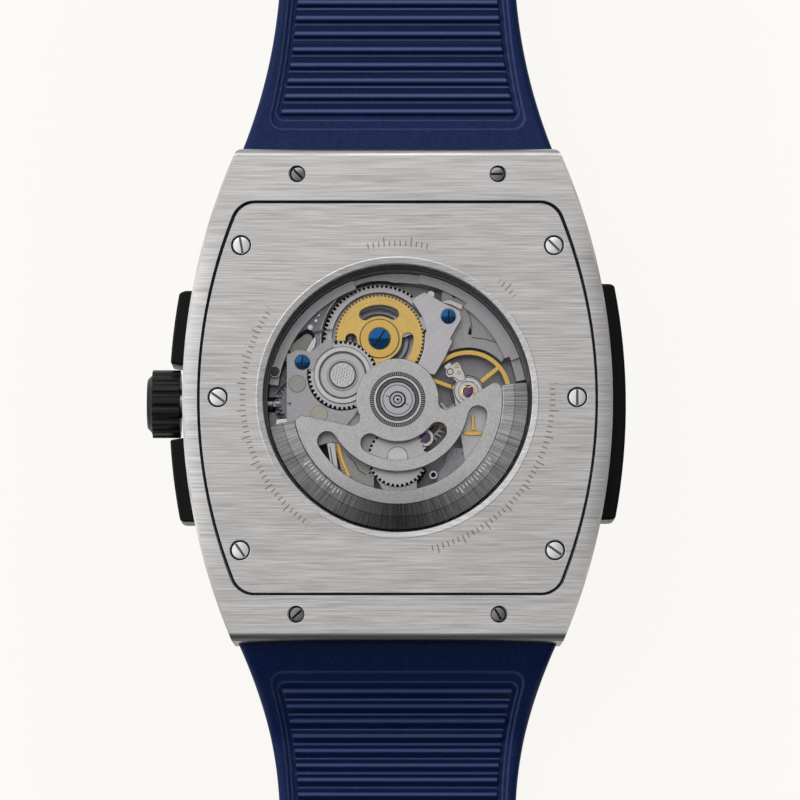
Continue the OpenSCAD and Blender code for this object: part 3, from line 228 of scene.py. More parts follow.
def soften(piece: bpy.types.Object, width: float, segments: int = 2, angle_deg: float = 30.0) -> None:
    """Bevel a piece's sharp edges and keep its flat faces shaded flat."""
    edge = piece.modifiers.new("bevel", "BEVEL")
    edge.width = width * MM
    edge.segments = segments
    edge.limit_method = "ANGLE"
    edge.angle_limit = math.radians(angle_deg)
    even = piece.modifiers.new("even", "WEIGHTED_NORMAL")
    even.mode = "FACE_AREA"
    even.weight = 100
    even.keep_sharp = True
    freeze(piece)


def ring_points(at: Vec, radius: float, start: float = 0.0, end: float = 360.0,
                count: int = 48) -> list[tuple[float, float]]:
    """Points along an arc, in degrees anticlockwise from +X."""
    a = np.radians(np.linspace(start, end, count, endpoint=abs(end - start) < 359.9))
    return [(float(at[0] + radius * np.cos(t)), float(at[1] + radius * np.sin(t))) for t in a]


def bar_cutter(at: Vec, length: float, width: float, z0: float, z1: float, turn: float) -> bpy.types.Object:
    """A straight bar for carving slots, turned anticlockwise by an angle in degrees."""
    t = math.radians(turn)
    along, across = np.array([math.cos(t), math.sin(t)]), np.array([-math.sin(t), math.cos(t)])
    signs = ((-1, -1), (1, -1), (1, 1), (-1, 1))
    outline = [tuple(np.array(at) + s * length / 2 * along + w * width / 2 * across) for s, w in signs]
    return prism("cutter", outline, z0, z1, 0.0)


def tube(name: str, path: Sequence[Vec], radius: float, sides: int = 10) -> bpy.types.Object:
    """A round wire along a path: rings stand square to the path at each of its points."""
    line = np.array(path, dtype=float)
    ahead = np.gradient(line, axis=0)
    ahead /= np.linalg.norm(ahead, axis=1, keepdims=True)
    up = np.array([0.0, 0.0, 1.0])
    side = np.cross(ahead, up)
    side /= np.linalg.norm(side, axis=1, keepdims=True)
    top = np.cross(side, ahead)
    a = np.linspace(0, 2 * np.pi, sides, endpoint=False)
    points = line[:, None] + radius * (np.cos(a)[None, :, None] * side[:, None] +
                                       np.sin(a)[None, :, None] * top[:, None])
    return grid_mesh(name, points, wrap_v=True, caps=True)


def machined(node: str, bevel: float, segments: int, angle_deg: float) -> bpy.types.Object:
    """Copy a frame node, join its loose triangles into faces and round its edges.

    Args:
        node: the frame node that the piece stands for.
        bevel: bevel width in millimetres.
        segments: facets across the bevel.
        angle_deg: the angle above which an edge is bevelled.

    Returns:
        The new object, which replaces the node and rides on its body.
    """
    mesh = frame["nodes"][node].data.copy()
    work = bmesh.new()
    work.from_mesh(mesh)
    bmesh.ops.remove_doubles(work, verts=work.verts, dist=2e-7)
    bmesh.ops.dissolve_limit(work, angle_limit=math.radians(1.0), verts=work.verts, edges=work.edges)
    work.to_mesh(mesh)
    work.free()
    mesh.materials.clear()
    shade(mesh, angle_deg)
    piece = make_object(node + "_dressed", mesh)
    if bevel > 0:
        soften(piece, bevel, segments, angle_deg)
    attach(piece, body_of(node))
    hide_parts(node)
    return piece


def body_of(node: str) -> str:
    """Name of the body that a frame node belongs to."""
    bodies = frame["record"]["behaviour"]["bodies"]
    return next(body for body, nodes in bodies.items() if node in nodes)


def settle(piece: bpy.types.Object, body: str, finish: "Surface", *nodes: str) -> bpy.types.Object:
    """Give a piece its body and finish, and hide the frame nodes that it stands for."""
    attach(piece, body)
    if nodes:
        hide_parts(*nodes)
    dress(piece, finish)
    return piece


def dress(piece: bpy.types.Object, finish: "Surface") -> None:
    """Give a piece its finish as its only material."""
    piece.data.materials.clear()
    piece.data.materials.append(finish.material())


# Finishes


class Grain(Enum):
    """The ways in which a surface was worked."""

    ALONG_X = "along x"
    ALONG_Y = "along y"
    SLANTED = "slanted"
    RADIAL = "radial"
    ROUND = "round"
    MATT = "matt"


class Nodes:
    """Short names for building one material's node tree."""

    def __init__(self, name: str) -> None:
        """Start a material with an empty tree and one Principled shader."""
        self.material = bpy.data.materials.new(name)
        self.material.use_nodes = True
        self.tree = self.material.node_tree
        self.tree.nodes.clear()
        self.out = self.tree.nodes.new("ShaderNodeOutputMaterial")
        self.shader = self.tree.nodes.new("ShaderNodeBsdfPrincipled")
        self.tree.links.new(self.shader.outputs[0], self.out.inputs[0])

    def add(self, kind: str, **inputs: object) -> bpy.types.Node:
        """Add a node; a keyword that is a property of the node sets it, any other sets an input."""
        node = self.tree.nodes.new("ShaderNode" + kind)
        for key, value in inputs.items():
            if hasattr(node, key):
                setattr(node, key, value)
                continue
            socket = node.inputs[int(key[1:])] if key[0] == "i" and key[1:].isdigit() \
                else node.inputs[key.replace("_", " ")]
            if isinstance(value, bpy.types.NodeSocket):
                self.tree.links.new(value, socket)
            else:
                socket.default_value = value
        return node

    def link(self, source: bpy.types.NodeSocket, target: bpy.types.NodeSocket) -> None:
        """Join an output to an input."""
        self.tree.links.new(source, target)

    def millimetres(self) -> bpy.types.NodeSocket:
        """Object coordinates in millimetres."""
        return self.scaled(self.add("TexCoord").outputs["Object"], 1.0 / MM)

    def axes(self) -> Sequence[bpy.types.NodeSocket]:
        """Object coordinates in millimetres as x, y and z."""
        return self.add("SeparateXYZ", i0=self.millimetres()).outputs

    def scaled(self, vector: object, share: object) -> bpy.types.NodeSocket:
        """A vector or colour times a number."""
        return self.add("VectorMath", operation="SCALE", i0=vector, Scale=share).outputs[0]

    def math(self, operation: str, first: object, second: object = 0.0) -> bpy.types.NodeSocket:
        """One arithmetic step."""
        return self.add("Math", operation=operation, i0=first, i1=second).outputs[0]

    def length(self, x: bpy.types.NodeSocket, y: bpy.types.NodeSocket) -> bpy.types.NodeSocket:
        """Square root of the sum of two squares."""
        return self.math("SQRT", self.math("ADD", self.math("MULTIPLY", x, x), self.math("MULTIPLY", y, y)))

    def within(self, value: bpy.types.NodeSocket, middle: float, half: float) -> bpy.types.NodeSocket:
        """1 where a value lies no further than a half width from a middle, 0 elsewhere."""
        return self.add("Math", operation="COMPARE", i0=value, i1=middle, i2=half).outputs[0]

    def noise(self, place: bpy.types.NodeSocket, stretch: Vec, detail: float) -> bpy.types.NodeSocket:
        """Noise with its own number of waves per millimetre along each axis."""
        moved = self.add("Mapping", vector_type="POINT", Vector=place, Scale=tuple(stretch))
        return self.add("TexNoise", Vector=moved.outputs[0], Scale=1.0, Detail=detail,
                        Roughness=0.6).outputs["Fac"]

    def spread(self, fac: bpy.types.NodeSocket, low: float, high: float,
               start: float = 0.3, end: float = 0.7) -> bpy.types.NodeSocket:
        """Map a factor from start and end to low and high."""
        return self.add("MapRange", i0=fac, i1=start, i2=end, i3=low, i4=high).outputs[0]

    def base(self) -> bpy.types.NodeSocket:
        """What the base colour is so far."""
        return self.shader.inputs["Base Color"].links[0].from_socket

    def recolour(self, colour: bpy.types.NodeSocket) -> None:
        """Make a node's output the base colour."""
        self.link(colour, self.shader.inputs["Base Color"])

    def dim(self, share: bpy.types.NodeSocket) -> None:
        """Scale the base colour by a share."""
        self.recolour(self.scaled(self.base(), share))

    def lighten(self, colour: Colour, share: bpy.types.NodeSocket) -> None:
        """Add a colour times a share to the base colour."""
        self.recolour(self.add("VectorMath", operation="ADD", i0=self.base(),
                               i1=self.scaled(colour, share)).outputs[0])

    def bump(self, height: bpy.types.NodeSocket, depth_mm: float) -> None:
        """Raise the surface by a height times a depth."""
        bump = self.add("Bump", Height=height, Strength=1.0, Distance=depth_mm * MM)
        self.link(bump.outputs[0], self.shader.inputs["Normal"])

    def bend(self, height: bpy.types.NodeSocket) -> None:
        """Shape the shading under the bump that is already there, by a height in millimetres."""
        old = self.shader.inputs["Normal"].links[0].from_node
        bump = self.add("Bump", Height=height, Strength=1.0, Distance=MM)
        self.link(bump.outputs[0], old.inputs["Normal"])

    def fraction_off_middle(self, turn: bpy.types.NodeSocket, share: float) -> bpy.types.NodeSocket:
        """How far the fractional part of a turn times a share lies from one half."""
        part = self.math("FRACT", self.math("MULTIPLY", turn, share))
        return self.math("ABSOLUTE", self.math("SUBTRACT", part, 0.5))

    def scale_marks(self, radii: tuple[float, float], arcs: Sequence[tuple[float, float]],
                    stroke_edge: tuple[float, float], shorter: float) -> bpy.types.NodeSocket:
        """Mask of a scale about the origin: a short radial stroke every two degrees, a long one every ten.

        Args:
            radii: inner and outer radius of the scale.
            arcs: where the scale shows, as middle and half width in degrees.
            stroke_edge: where a stroke's edge starts and ends to fade, in strokes from its middle.
            shorter: how much shorter a short stroke is, in millimetres.

        Returns:
            1 on a stroke and 0 elsewhere.
        """
        x, y, _ = self.axes()
        out = self.length(x, y)
        turn = self.math("DEGREES", self.math("ARCTAN2", y, x))
        stroke = self.spread(self.fraction_off_middle(turn, 0.5), 1.0, 0.0, *stroke_edge)
        short = self.spread(self.fraction_off_middle(turn, 0.1), 0.0, shorter, 0.09, 0.12)
        band = self.math("MULTIPLY", self.math("GREATER_THAN", out, radii[0]),
                         self.math("LESS_THAN", out, self.math("SUBTRACT", radii[1], short)))
        shown = self.within(turn, *arcs[0])
        for arc in arcs[1:]:
            shown = self.math("ADD", shown, self.within(turn, *arc))
        return self.math("MULTIPLY", self.math("MULTIPLY", stroke, band), shown)


_made: dict[str, bpy.types.Material] = {}


@dataclass(frozen=True)
class Surface:
    """A material that is made once.

    Attributes:
        name: name of the material.
        slot: the record's material slot; not used.
    """

    name: str
    slot: str

    def material(self) -> bpy.types.Material:
        """The surface as a material."""
        if self.name not in _made:
            nodes = Nodes(self.name)
            self.paint(nodes)
            _made[self.name] = nodes.material
        return _made[self.name]

    def paint(self, nodes: Nodes) -> None:
        """Build the material's nodes; each kind of surface has its own way."""
        raise NotImplementedError


@dataclass(frozen=True)
class Finish(Surface):
    """One metal, plastic or rubber surface.

    Attributes:
        colour: base colour as displayed, from 0 to 255.
        metal: 1 for a metal, 0 otherwise.
        rough: roughness.
        grain: how the surface was worked.
        fine: grain lines per millimetre.
        streak: how much the grain lightens and darkens the colour.
        depth: depth of the grain in millimetres.
        centre: centre of a round or radial grain, in millimetres.
        coat: strength of a clear coat.
        gloss: specular level of a surface that is not metal.
        low: lower and upper height in millimetres between which the colour falls off downwards, and
            the share that is left below; this is painted shade, by which slots and recesses are darker.
    """

    colour: Colour
    metal: float = 1.0
    rough: float = 0.3
    grain: Grain = Grain.MATT
    fine: float = 8.0
    streak: float = 0.1
    depth: float = 0.002
    centre: tuple[float, float] = (0.0, 0.0)
    coat: float = 0.0
    gloss: float = 0.5
    low: tuple[float, ...] = ()

    def place(self, nodes: Nodes) -> bpy.types.NodeSocket:
        """Coordinates in which the grain runs along the first axis."""
        here = nodes.millimetres()
        if self.grain in (Grain.ALONG_X, Grain.MATT):
            return here
        if self.grain == Grain.SLANTED:
            return nodes.add("VectorRotate", rotation_type="Z_AXIS", Vector=here,
                             Angle=math.radians(-38)).outputs[0]
        x, y, z = nodes.add("SeparateXYZ", i0=here).outputs
        if self.grain == Grain.ALONG_Y:
            return nodes.add("CombineXYZ", i0=y, i1=x, i2=z).outputs[0]
        dx = nodes.math("SUBTRACT", x, self.centre[0])
        dy = nodes.math("SUBTRACT", y, self.centre[1])
        turn = nodes.math("ARCTAN2", dy, dx)
        out = nodes.length(dx, dy)
        far = nodes.math("MULTIPLY", turn, 10.0)
        if self.grain == Grain.RADIAL:
            return nodes.add("CombineXYZ", i0=out, i1=far, i2=z).outputs[0]
        return nodes.add("CombineXYZ", i0=far, i1=out, i2=z).outputs[0]

    def stretch(self) -> tuple[float, float, float]:
        """Waves per millimetre along and across the grain."""
        if self.grain == Grain.MATT:
            return (self.fine, self.fine, self.fine)
        return (self.fine * 0.026, self.fine, self.fine * 0.5)

    def paint(self, nodes: Nodes) -> None:
        """Colour, roughness and grain, which one fine and one broad noise vary together."""
        shader = nodes.shader.inputs
        for socket, value in (("Metallic", self.metal), ("Base Color", (*srgb(*self.colour), 1.0)),
                              ("Coat Weight", self.coat), ("Specular IOR Level", self.gloss)):
            shader[socket].default_value = value
        place = self.place(nodes)
        along, across, up = self.stretch()
        fine = nodes.noise(place, (along, across, up), 4.0)
        broad = nodes.noise(place, (along * 0.3, across * 0.12, up * 0.2), 2.0)
        both = nodes.add("Math", operation="MULTIPLY_ADD", i0=fine, i1=0.8,
                         i2=nodes.math("MULTIPLY", broad, 0.2)).outputs[0]
        amount = nodes.spread(both, 1.0 - self.streak, 1.0 + self.streak)
        # Painted shade: the colour falls off below a height, darkening slots and recesses.
        if self.low:
            amount = nodes.math("MULTIPLY", amount,
                                nodes.spread(nodes.axes()[2], self.low[2], 1.0, *self.low[:2]))
        nodes.recolour(nodes.scaled(srgb(*self.colour), amount))
        nodes.link(nodes.spread(both, self.rough * 1.18, self.rough * 0.82), shader["Roughness"])
        if self.depth > 0:
            nodes.bump(fine, self.depth)


# Finishes of this watch

BRUSHED_BEZEL = Finish("brushed_bezel", "steel", (198, 198, 200), rough=0.34, grain=Grain.ALONG_Y, fine=9.0,
                       streak=0.08)
# Both screw steels are painted darker below their heads' tops: painted shade in the slots.
SCREW_STEEL = Finish("screw_steel", "steel_screw", (232, 232, 234), rough=0.2, fine=12.0, streak=0.05,
                     depth=0.0003, low=(12.78, 12.86, 0.16))
DARK_SCREW = Finish("dark_screw_steel", "dark_screw", (128, 126, 128), rough=0.24, fine=12.0, streak=0.1,
                    depth=0.0006, low=(12.78, 12.9, 0.12))
SEAL_RUBBER = Finish("seal_rubber", "seal", (22, 22, 23), metal=0.0, rough=0.6)
GUARD_BLACK = Finish("guard_composite", "black_guard", (7, 7, 8), metal=0.0, rough=0.4, fine=5.0, streak=0.2,
                     depth=0.006, gloss=0.14)
CROWN_BLACK = Finish("crown_rubber", "black_crown", (17, 17, 18), metal=0.0, rough=0.42, fine=6.0, streak=0.2,
                     depth=0.008, gloss=0.25)
BRIDGE_NICKEL = Finish("brushed_nickel", "nickel", (192, 190, 194), rough=0.34, grain=Grain.SLANTED, fine=10.0,
                       streak=0.12, depth=0.0016)
# The plate's nickel is painted darker towards its lower levels: painted shade in its recesses.
PLATE_NICKEL = Finish("grained_nickel", "nickel", (167, 166, 170), rough=0.36, fine=9.0, streak=0.14,
                      depth=0.002, low=(5.65, 8.1, 0.7))
WHEEL_NICKEL = Finish("turned_nickel", "nickel", (188, 187, 190), rough=0.3, fine=14.0, streak=0.07,
                      depth=0.0005)
GILT_TURNED = Finish("gilt_train", "gilt", (222, 184, 104), rough=0.24, fine=14.0, streak=0.06, depth=0.0004)
GILT_RATCHET = Finish("gilt_ratchet", "gilt", (220, 186, 112), rough=0.3, grain=Grain.ROUND, fine=7.0,
                      streak=0.16, depth=0.0016, centre=BARREL)
RUBY_RED = Finish("ruby", "ruby", (96, 52, 122), metal=0.0, rough=0.08, streak=0.3, fine=1.5, depth=0.0,
                  coat=0.6)
SPRING_STEEL = Finish("spring_steel", "spring_steel", (60, 60, 76), rough=0.22, fine=4.0, streak=0.1, depth=0.0)
DIAL_BLUE = Finish("blue_dial", "dial_blue", (10, 26, 62), metal=0.0, rough=0.36, grain=Grain.ROUND, fine=7.0,
                   streak=0.2, depth=0.002, coat=0.3)
BRIGHT_STEEL = Finish("bright_hands", "bright", (214, 214, 218), rough=0.14, streak=0.05, depth=0.0002)
RED_LACQUER = Finish("red_lacquer", "red", (176, 18, 22), metal=0.0, rough=0.28, streak=0.1, depth=0.0,
                     coat=0.5)
BUCKLE_STEEL = Finish("buckle_steel", "buckle_steel", (196, 196, 199), rough=0.3, grain=Grain.ALONG_X, fine=9.0,
                      streak=0.1)
HUB_DARK = Finish("hub_teeth_metal", "nickel", (150, 149, 152), rough=0.3, fine=12.0, streak=0.1, depth=0.0005)
WHEEL_STEEL = Finish("polished_fittings", "nickel", (206, 205, 208), rough=0.18, fine=10.0, streak=0.05,
                     depth=0.0003)
RACE_STEEL = Finish("turned_race", "nickel", (186, 185, 189), rough=0.28, fine=12.0, streak=0.06, depth=0.0004)
CAP_STEEL = Finish("satin_caps", "nickel", (204, 203, 206), rough=0.3, grain=Grain.SLANTED, fine=12.0,
                   streak=0.1, depth=0.001)
WARM_STEEL = Finish("warm_satin", "nickel", (170, 167, 158), rough=0.34, grain=Grain.SLANTED, fine=10.0,
                    streak=0.1, depth=0.001)
HOLE_DARK = Finish("hole_shade", "nickel", (84, 84, 89), rough=0.5, fine=6.0, streak=0.2, depth=0.0)
LINE_DARK = Finish("deep_shade", "nickel", (38, 37, 42), rough=0.5, fine=6.0, streak=0.2, depth=0.0)
# Grey for scribed lines, and also for dark lines and sheets that stand for shade in slots, grooves and under
# teeth: painted shade.
LINE_GREY = Finish("scribed_lines_and_shade", "nickel", (96, 95, 98), rough=0.45, fine=6.0, streak=0.2, depth=0.0)
CAGE_STEEL = Finish("ball_cage", "nickel", (98, 97, 101), rough=0.35, fine=8.0, streak=0.2, depth=0.0005)
# The plate's nickel a little darker for the plate beside the balance: painted shade.
PLATE_MID = Finish("plate_mid", "nickel", (160, 159, 160), rough=0.4, fine=9.0, streak=0.16, depth=0.003)
PLATE_LIGHT = Finish("plate_light", "nickel", (156, 155, 154), rough=0.38, fine=9.0, streak=0.12, depth=0.002)
FLOOR_WARM = Finish("floor_warm", "nickel", (140, 139, 132), rough=0.4, fine=8.0, streak=0.12, depth=0.001)


@dataclass(frozen=True)
class EdgeShadedFinish(Finish):
    """A finish painted darker towards the movement's edge: painted shade.

    Attributes:
        fade: radius at which the painted shade starts and ends, and the share of the colour that is left.
        towards_six: the fall is measured towards six o'clock instead of all around.
    """

    fade: tuple[float, float, float] = (10.0, 12.9, 0.55)
    towards_six: bool = False

    def paint(self, nodes: Nodes) -> None:
        """Paint shade: dim the colour evenly with the way out."""
        super().paint(nodes)
        x, y, _ = nodes.axes()
        out = nodes.math("MULTIPLY", y, -1.0) if self.towards_six else nodes.length(x, y)
        nodes.dim(nodes.spread(out, 1.0, self.fade[2], *self.fade[:2]))


@dataclass(frozen=True)
class RubberFinish(Finish):
    """Moulded rubber with painted highlights on its ribs' crests and painted shade in the furrows; a mesh tells
    where by its attribute.

    Attributes:
        crest: colour of the painted highlight that a full crest adds.
        attribute: name of the mesh attribute, 1 on a full painted highlight and below 0 where shade is painted
            in a furrow.
    """

    crest: Colour = (0.1, 0.135, 0.24)
    attribute: str = "crest"

    def paint(self, nodes: Nodes) -> None:
        """Paint highlights on the crests and shade in the furrows."""
        super().paint(nodes)
        light_and_shade = nodes.add("Attribute", attribute_name=self.attribute).outputs["Fac"]
        nodes.lighten(self.crest, nodes.math("MAXIMUM", light_and_shade, 0.0))
        nodes.dim(nodes.math("ADD", 1.0, nodes.math("MINIMUM", light_and_shade, 0.0)))


@dataclass(frozen=True)
class BluedHalfShadedFinish(Finish):
    """Blued steel with painted light: each head keeps its colour above a line through its middle as a painted
    reflection, and is painted in shade below it.

    Attributes:
        lines: x from which a line holds and the line's y, in millimetres.
        shade: share of the colour that is left below the line.
    """

    lines: tuple[tuple[float, float], ...] = ((-99.0, 3.85), (-6.0, 6.3), (2.0, 8.48))
    shade: float = 0.3

    def paint(self, nodes: Nodes) -> None:
        """Shade what lies below each head's line."""
        super().paint(nodes)
        x, y, _ = nodes.axes()
        level = self.lines[0][1]
        for (_, before), (start, height) in zip(self.lines, self.lines[1:]):
            step = nodes.math("MULTIPLY", nodes.math("GREATER_THAN", x, start), height - before)
            level = nodes.math("ADD", step, level)
        nodes.dim(nodes.spread(nodes.math("SUBTRACT", y, level), self.shade, 1.0, -0.06, 0.06))


# These finishes are painted darker towards the movement's edge, the rotor plate's towards six o'clock: painted
# shade; the ring's colour is darkened as shade too.
ROTOR_PLATE = EdgeShadedFinish("blasted_rotor_plate", "rotor_plate", (188, 188, 189), rough=0.4, fine=5.0,
                          streak=0.2, depth=0.003, fade=(6.5, 9.8, 0.74), towards_six=True)
# The strap's ribs get painted highlights and painted shade from the mesh attribute.
BLUE_RUBBER = RubberFinish("blue_rubber", "strap_blue", (13, 34, 80), metal=0.0, rough=0.45, fine=5.0,
                           streak=0.5, depth=0.03, gloss=0.12)
PLATE_SHADE = EdgeShadedFinish("plate_shade", "nickel", (150, 149, 156), rough=0.4, fine=5.0, streak=0.2,
                          depth=0.003, fade=(9.0, 12.6, 0.66))
RING_SHADED = EdgeShadedFinish("shaded_ring_metal", "dark_ring", (130, 129, 136), rough=0.4, fine=8.0, streak=0.14,
                        depth=0.002, fade=(12.0, 13.1, 0.6))
# Blued screw heads: painted reflection above their middle, painted shade below.
BLUED_STEEL = BluedHalfShadedFinish("blued_steel_half_shaded", "blued", (38, 98, 160), rough=0.2, fine=2.0, streak=0.2, depth=0.0)


@dataclass(frozen=True)
class RimFinish(Finish):
    """Heavy metal of the rotor's rim, cut by radial strokes in two bands, with a fine engraved scale.

    The strokes are painted darker towards the rim's lowest point as painted shade: the amount follows the power
    of the sideways share of the radius.

    Attributes:
        bands: radius of the line between the two bands and its half width.
        least: share of the colour that the painted shade leaves at the lowest point.
        scales: arcs of the engraved scale, as middle and half width in degrees.
        scale_r: inner and outer radius of the scale.
    """

    bands: tuple[float, float] = (11.62, 0.05)
    least: float = 0.1
    scales: tuple[tuple[float, float], ...] = ((-134.0, 13.0), (-45.0, 13.0))
    scale_r: tuple[float, float] = (10.62, 11.3)

    def paint(self, nodes: Nodes) -> None:
        """Paint shade on the strokes towards six o'clock, draw the bands' line and lighten the scale."""
        super().paint(nodes)
        x, y, _ = nodes.axes()
        out = nodes.length(x, y)
        side = nodes.math("ABSOLUTE", nodes.math("DIVIDE", x, out))
        amount = nodes.spread(nodes.math("POWER", side, 1.5), self.least, 1.0, 0.0, 0.95)
        step = nodes.spread(out, 1.0, 0.74, self.bands[0] - 0.02, self.bands[0] + 0.02)
        line = nodes.math("SUBTRACT", 1.0, nodes.math("MULTIPLY", nodes.within(out, *self.bands), 0.45))
        nodes.dim(nodes.math("MULTIPLY", nodes.math("MULTIPLY", amount, step), line))
        marks = nodes.scale_marks(self.scale_r, self.scales, (0.12, 0.2), 0.3)
        nodes.lighten(srgb(196, 196, 196), nodes.math("MULTIPLY", marks, 0.7))


ROTOR_RIM = RimFinish("cut_rotor_rim", "rotor_weight", (164, 163, 164), rough=0.32, grain=Grain.RADIAL,
                      fine=9.0, streak=0.7, depth=0.005)


@dataclass(frozen=True)
class Glass(Surface):
    """Clear sapphire glass."""

    def paint(self, nodes: Nodes) -> None:
        """Let straight light through and mirror at a slant."""
        for socket, value in (("Base Color", (1.0, 1.0, 1.0, 1.0)), ("Roughness", 0.0), ("IOR", 1.45),
                              ("Transmission Weight", 1.0)):
            nodes.shader.inputs[socket].default_value = value
        slant = nodes.add("LayerWeight", Blend=0.12).outputs["Fresnel"]
        thin = nodes.add("MixShader", i0=nodes.math("MULTIPLY", slant, 0.5),
                         i1=nodes.add("BsdfTransparent").outputs[0],
                         i2=nodes.add("BsdfGlossy", Roughness=0.03).outputs[0])
        nodes.link(thin.outputs[0], nodes.out.inputs[0])


CLEAR_GLASS = Glass("clear_sapphire", "clear_glass")


@dataclass(frozen=True)
class CaseSteel(Finish):
    """Brushed case steel, whose narrow side rims are crowned and whose plate carries etched scales.

    Attributes:
        rim_crown: height of the rims' crown in millimetres.
        etched: arcs of the etched scale, as middle and half width in degrees.
        scale_r: inner and outer radius of the scale.
        arc_r: radius of the case side.
        half_w: half width of the case at its middle.
        end_shade: painted shade: share of the colour that is left at the foot of the end towards six; the other
            end is a little darker too, which tones down its highlight.
        slope: inner and outer radius of the window's slope, and how steep its shading is flattened.
    """

    rim_crown: float = 0.0
    etched: tuple[tuple[float, float], ...] = ()
    scale_r: tuple[float, float] = (15.0, 15.9)
    arc_r: float = 60.68
    half_w: float = 21.2
    end_shade: float = 1.0
    slope: tuple[float, ...] = ()

    def paint(self, nodes: Nodes) -> None:
        """Crown the rims, etch the scales, paint shade on both ends and soften the window's slope, as far as
        set.
        """
        super().paint(nodes)
        x, y, _ = nodes.axes()
        if self.rim_crown > 0:
            self.crown_rims(nodes, x, y)
        if self.etched:
            marks = nodes.scale_marks(self.scale_r, self.etched, (0.09, 0.15), 0.35)
            nodes.dim(nodes.math("SUBTRACT", 1.0, nodes.math("MULTIPLY", marks, 0.55)))
        # Painted shade on the ends: darker at the foot of the end towards six, a little darker at the other
        # end.
        if self.end_shade < 1:
            nodes.dim(nodes.spread(y, self.end_shade, 1.0, -23.95, -23.2))
            nodes.dim(nodes.spread(y, 1.0, 0.72, 23.85, 24.3))
        if self.slope:
            self.flatten(nodes, x, y)

    def place(self, nodes: Nodes) -> bpy.types.NodeSocket:
        """Where the grain is read: its lines run along x, and along y on the walls of both sides."""
        flat = super().place(nodes)
        x, y, z = nodes.add("SeparateXYZ", i0=flat).outputs
        side = nodes.add("CombineXYZ", i0=nodes.math("ADD", x, y), i1=0.0, i2=nodes.math("MULTIPLY", z, 2.0))
        wall = nodes.spread(self.way_out(nodes, x, y), 0.0, 1.0, self.arc_r - 0.25, self.arc_r - 0.2)
        turn = nodes.add("VectorMath", operation="SUBTRACT", i0=side.outputs[0], i1=flat).outputs[0]
        return nodes.add("VectorMath", operation="ADD", i0=flat, i1=nodes.scaled(turn, wall)).outputs[0]

    def way_out(self, nodes: Nodes, x: bpy.types.NodeSocket, y: bpy.types.NodeSocket) -> bpy.types.NodeSocket:
        """Distance from the middle of the arc that draws the nearer side of the case."""
        return nodes.length(nodes.math("ADD", nodes.math("ABSOLUTE", x), self.arc_r - self.half_w), y)

    def flatten(self, nodes: Nodes, x: bpy.types.NodeSocket, y: bpy.types.NodeSocket) -> None:
        """Soften the slope around the window: the shading height falls evenly with the way out over it."""
        inner, outer, share = self.slope
        way = nodes.math("MAXIMUM", nodes.math("SUBTRACT", nodes.length(x, y), inner), 0.0)
        nodes.bend(nodes.math("MULTIPLY", nodes.math("MINIMUM", way, outer - inner), -share))

    def crown_rims(self, nodes: Nodes, x: bpy.types.NodeSocket, y: bpy.types.NodeSocket) -> None:
        """Bend the rims' shading: the height falls with the square of the way out past the plate's joint.

        The fall fades out smoothly towards both ends of the case.
        """
        t = nodes.math("MAXIMUM", nodes.math("SUBTRACT", self.way_out(nodes, x, y), self.arc_r - 1.9), 0.0)
        keep = nodes.add("MapRange", interpolation_type="SMOOTHSTEP", i0=nodes.math("ABSOLUTE", y), i1=11.0,
                         i2=20.0, i3=1.0, i4=0.0).outputs[0]
        fall = nodes.math("MULTIPLY", nodes.math("MULTIPLY", t, t), -self.rim_crown)
        nodes.bend(nodes.math("MULTIPLY", fall, keep))


CASE_STEEL = CaseSteel("brushed_case_steel", "steel", (200, 199, 199), rough=0.34, grain=Grain.ALONG_X,
                       fine=7.5, streak=0.35, depth=0.003, rim_crown=0.05, end_shade=0.12)
BACK_STEEL = CaseSteel("etched_back_steel", "steel", (198, 197, 197), rough=0.34, grain=Grain.ALONG_X, fine=7.5,
                       streak=0.37, depth=0.003, slope=(13.28, 13.95, 0.4),
                       etched=((90.0, 12.0), (45.0, 4.0), (-36.5, 41.5), (162.5, 17.4), (-152.5, 27.4)))


# Sub-assemblies


@dataclass(frozen=True)
class Dress:
    """How one frame node is dressed: its finish, bevel and the angle at which an edge is bevelled."""

    finish: Surface
    bevel: float = 0.03
    segments: int = 2
    angle: float = 30.0


class Assembly:
    """A group of pieces: frame nodes that are dressed by a plan, and what a subclass adds to them.

    Attributes:
        plan: from the name of each frame node to its dress.
    """

    plan: ClassVar[dict[str, Dress]] = {}

    def build(self) -> None:
        """Copy each node of the plan, round its edges and give it its finish."""
        for node, how in self.plan.items():
            dress(machined(node, how.bevel, how.segments, how.angle), how.finish)
            LOG.info("dressed %s", node)


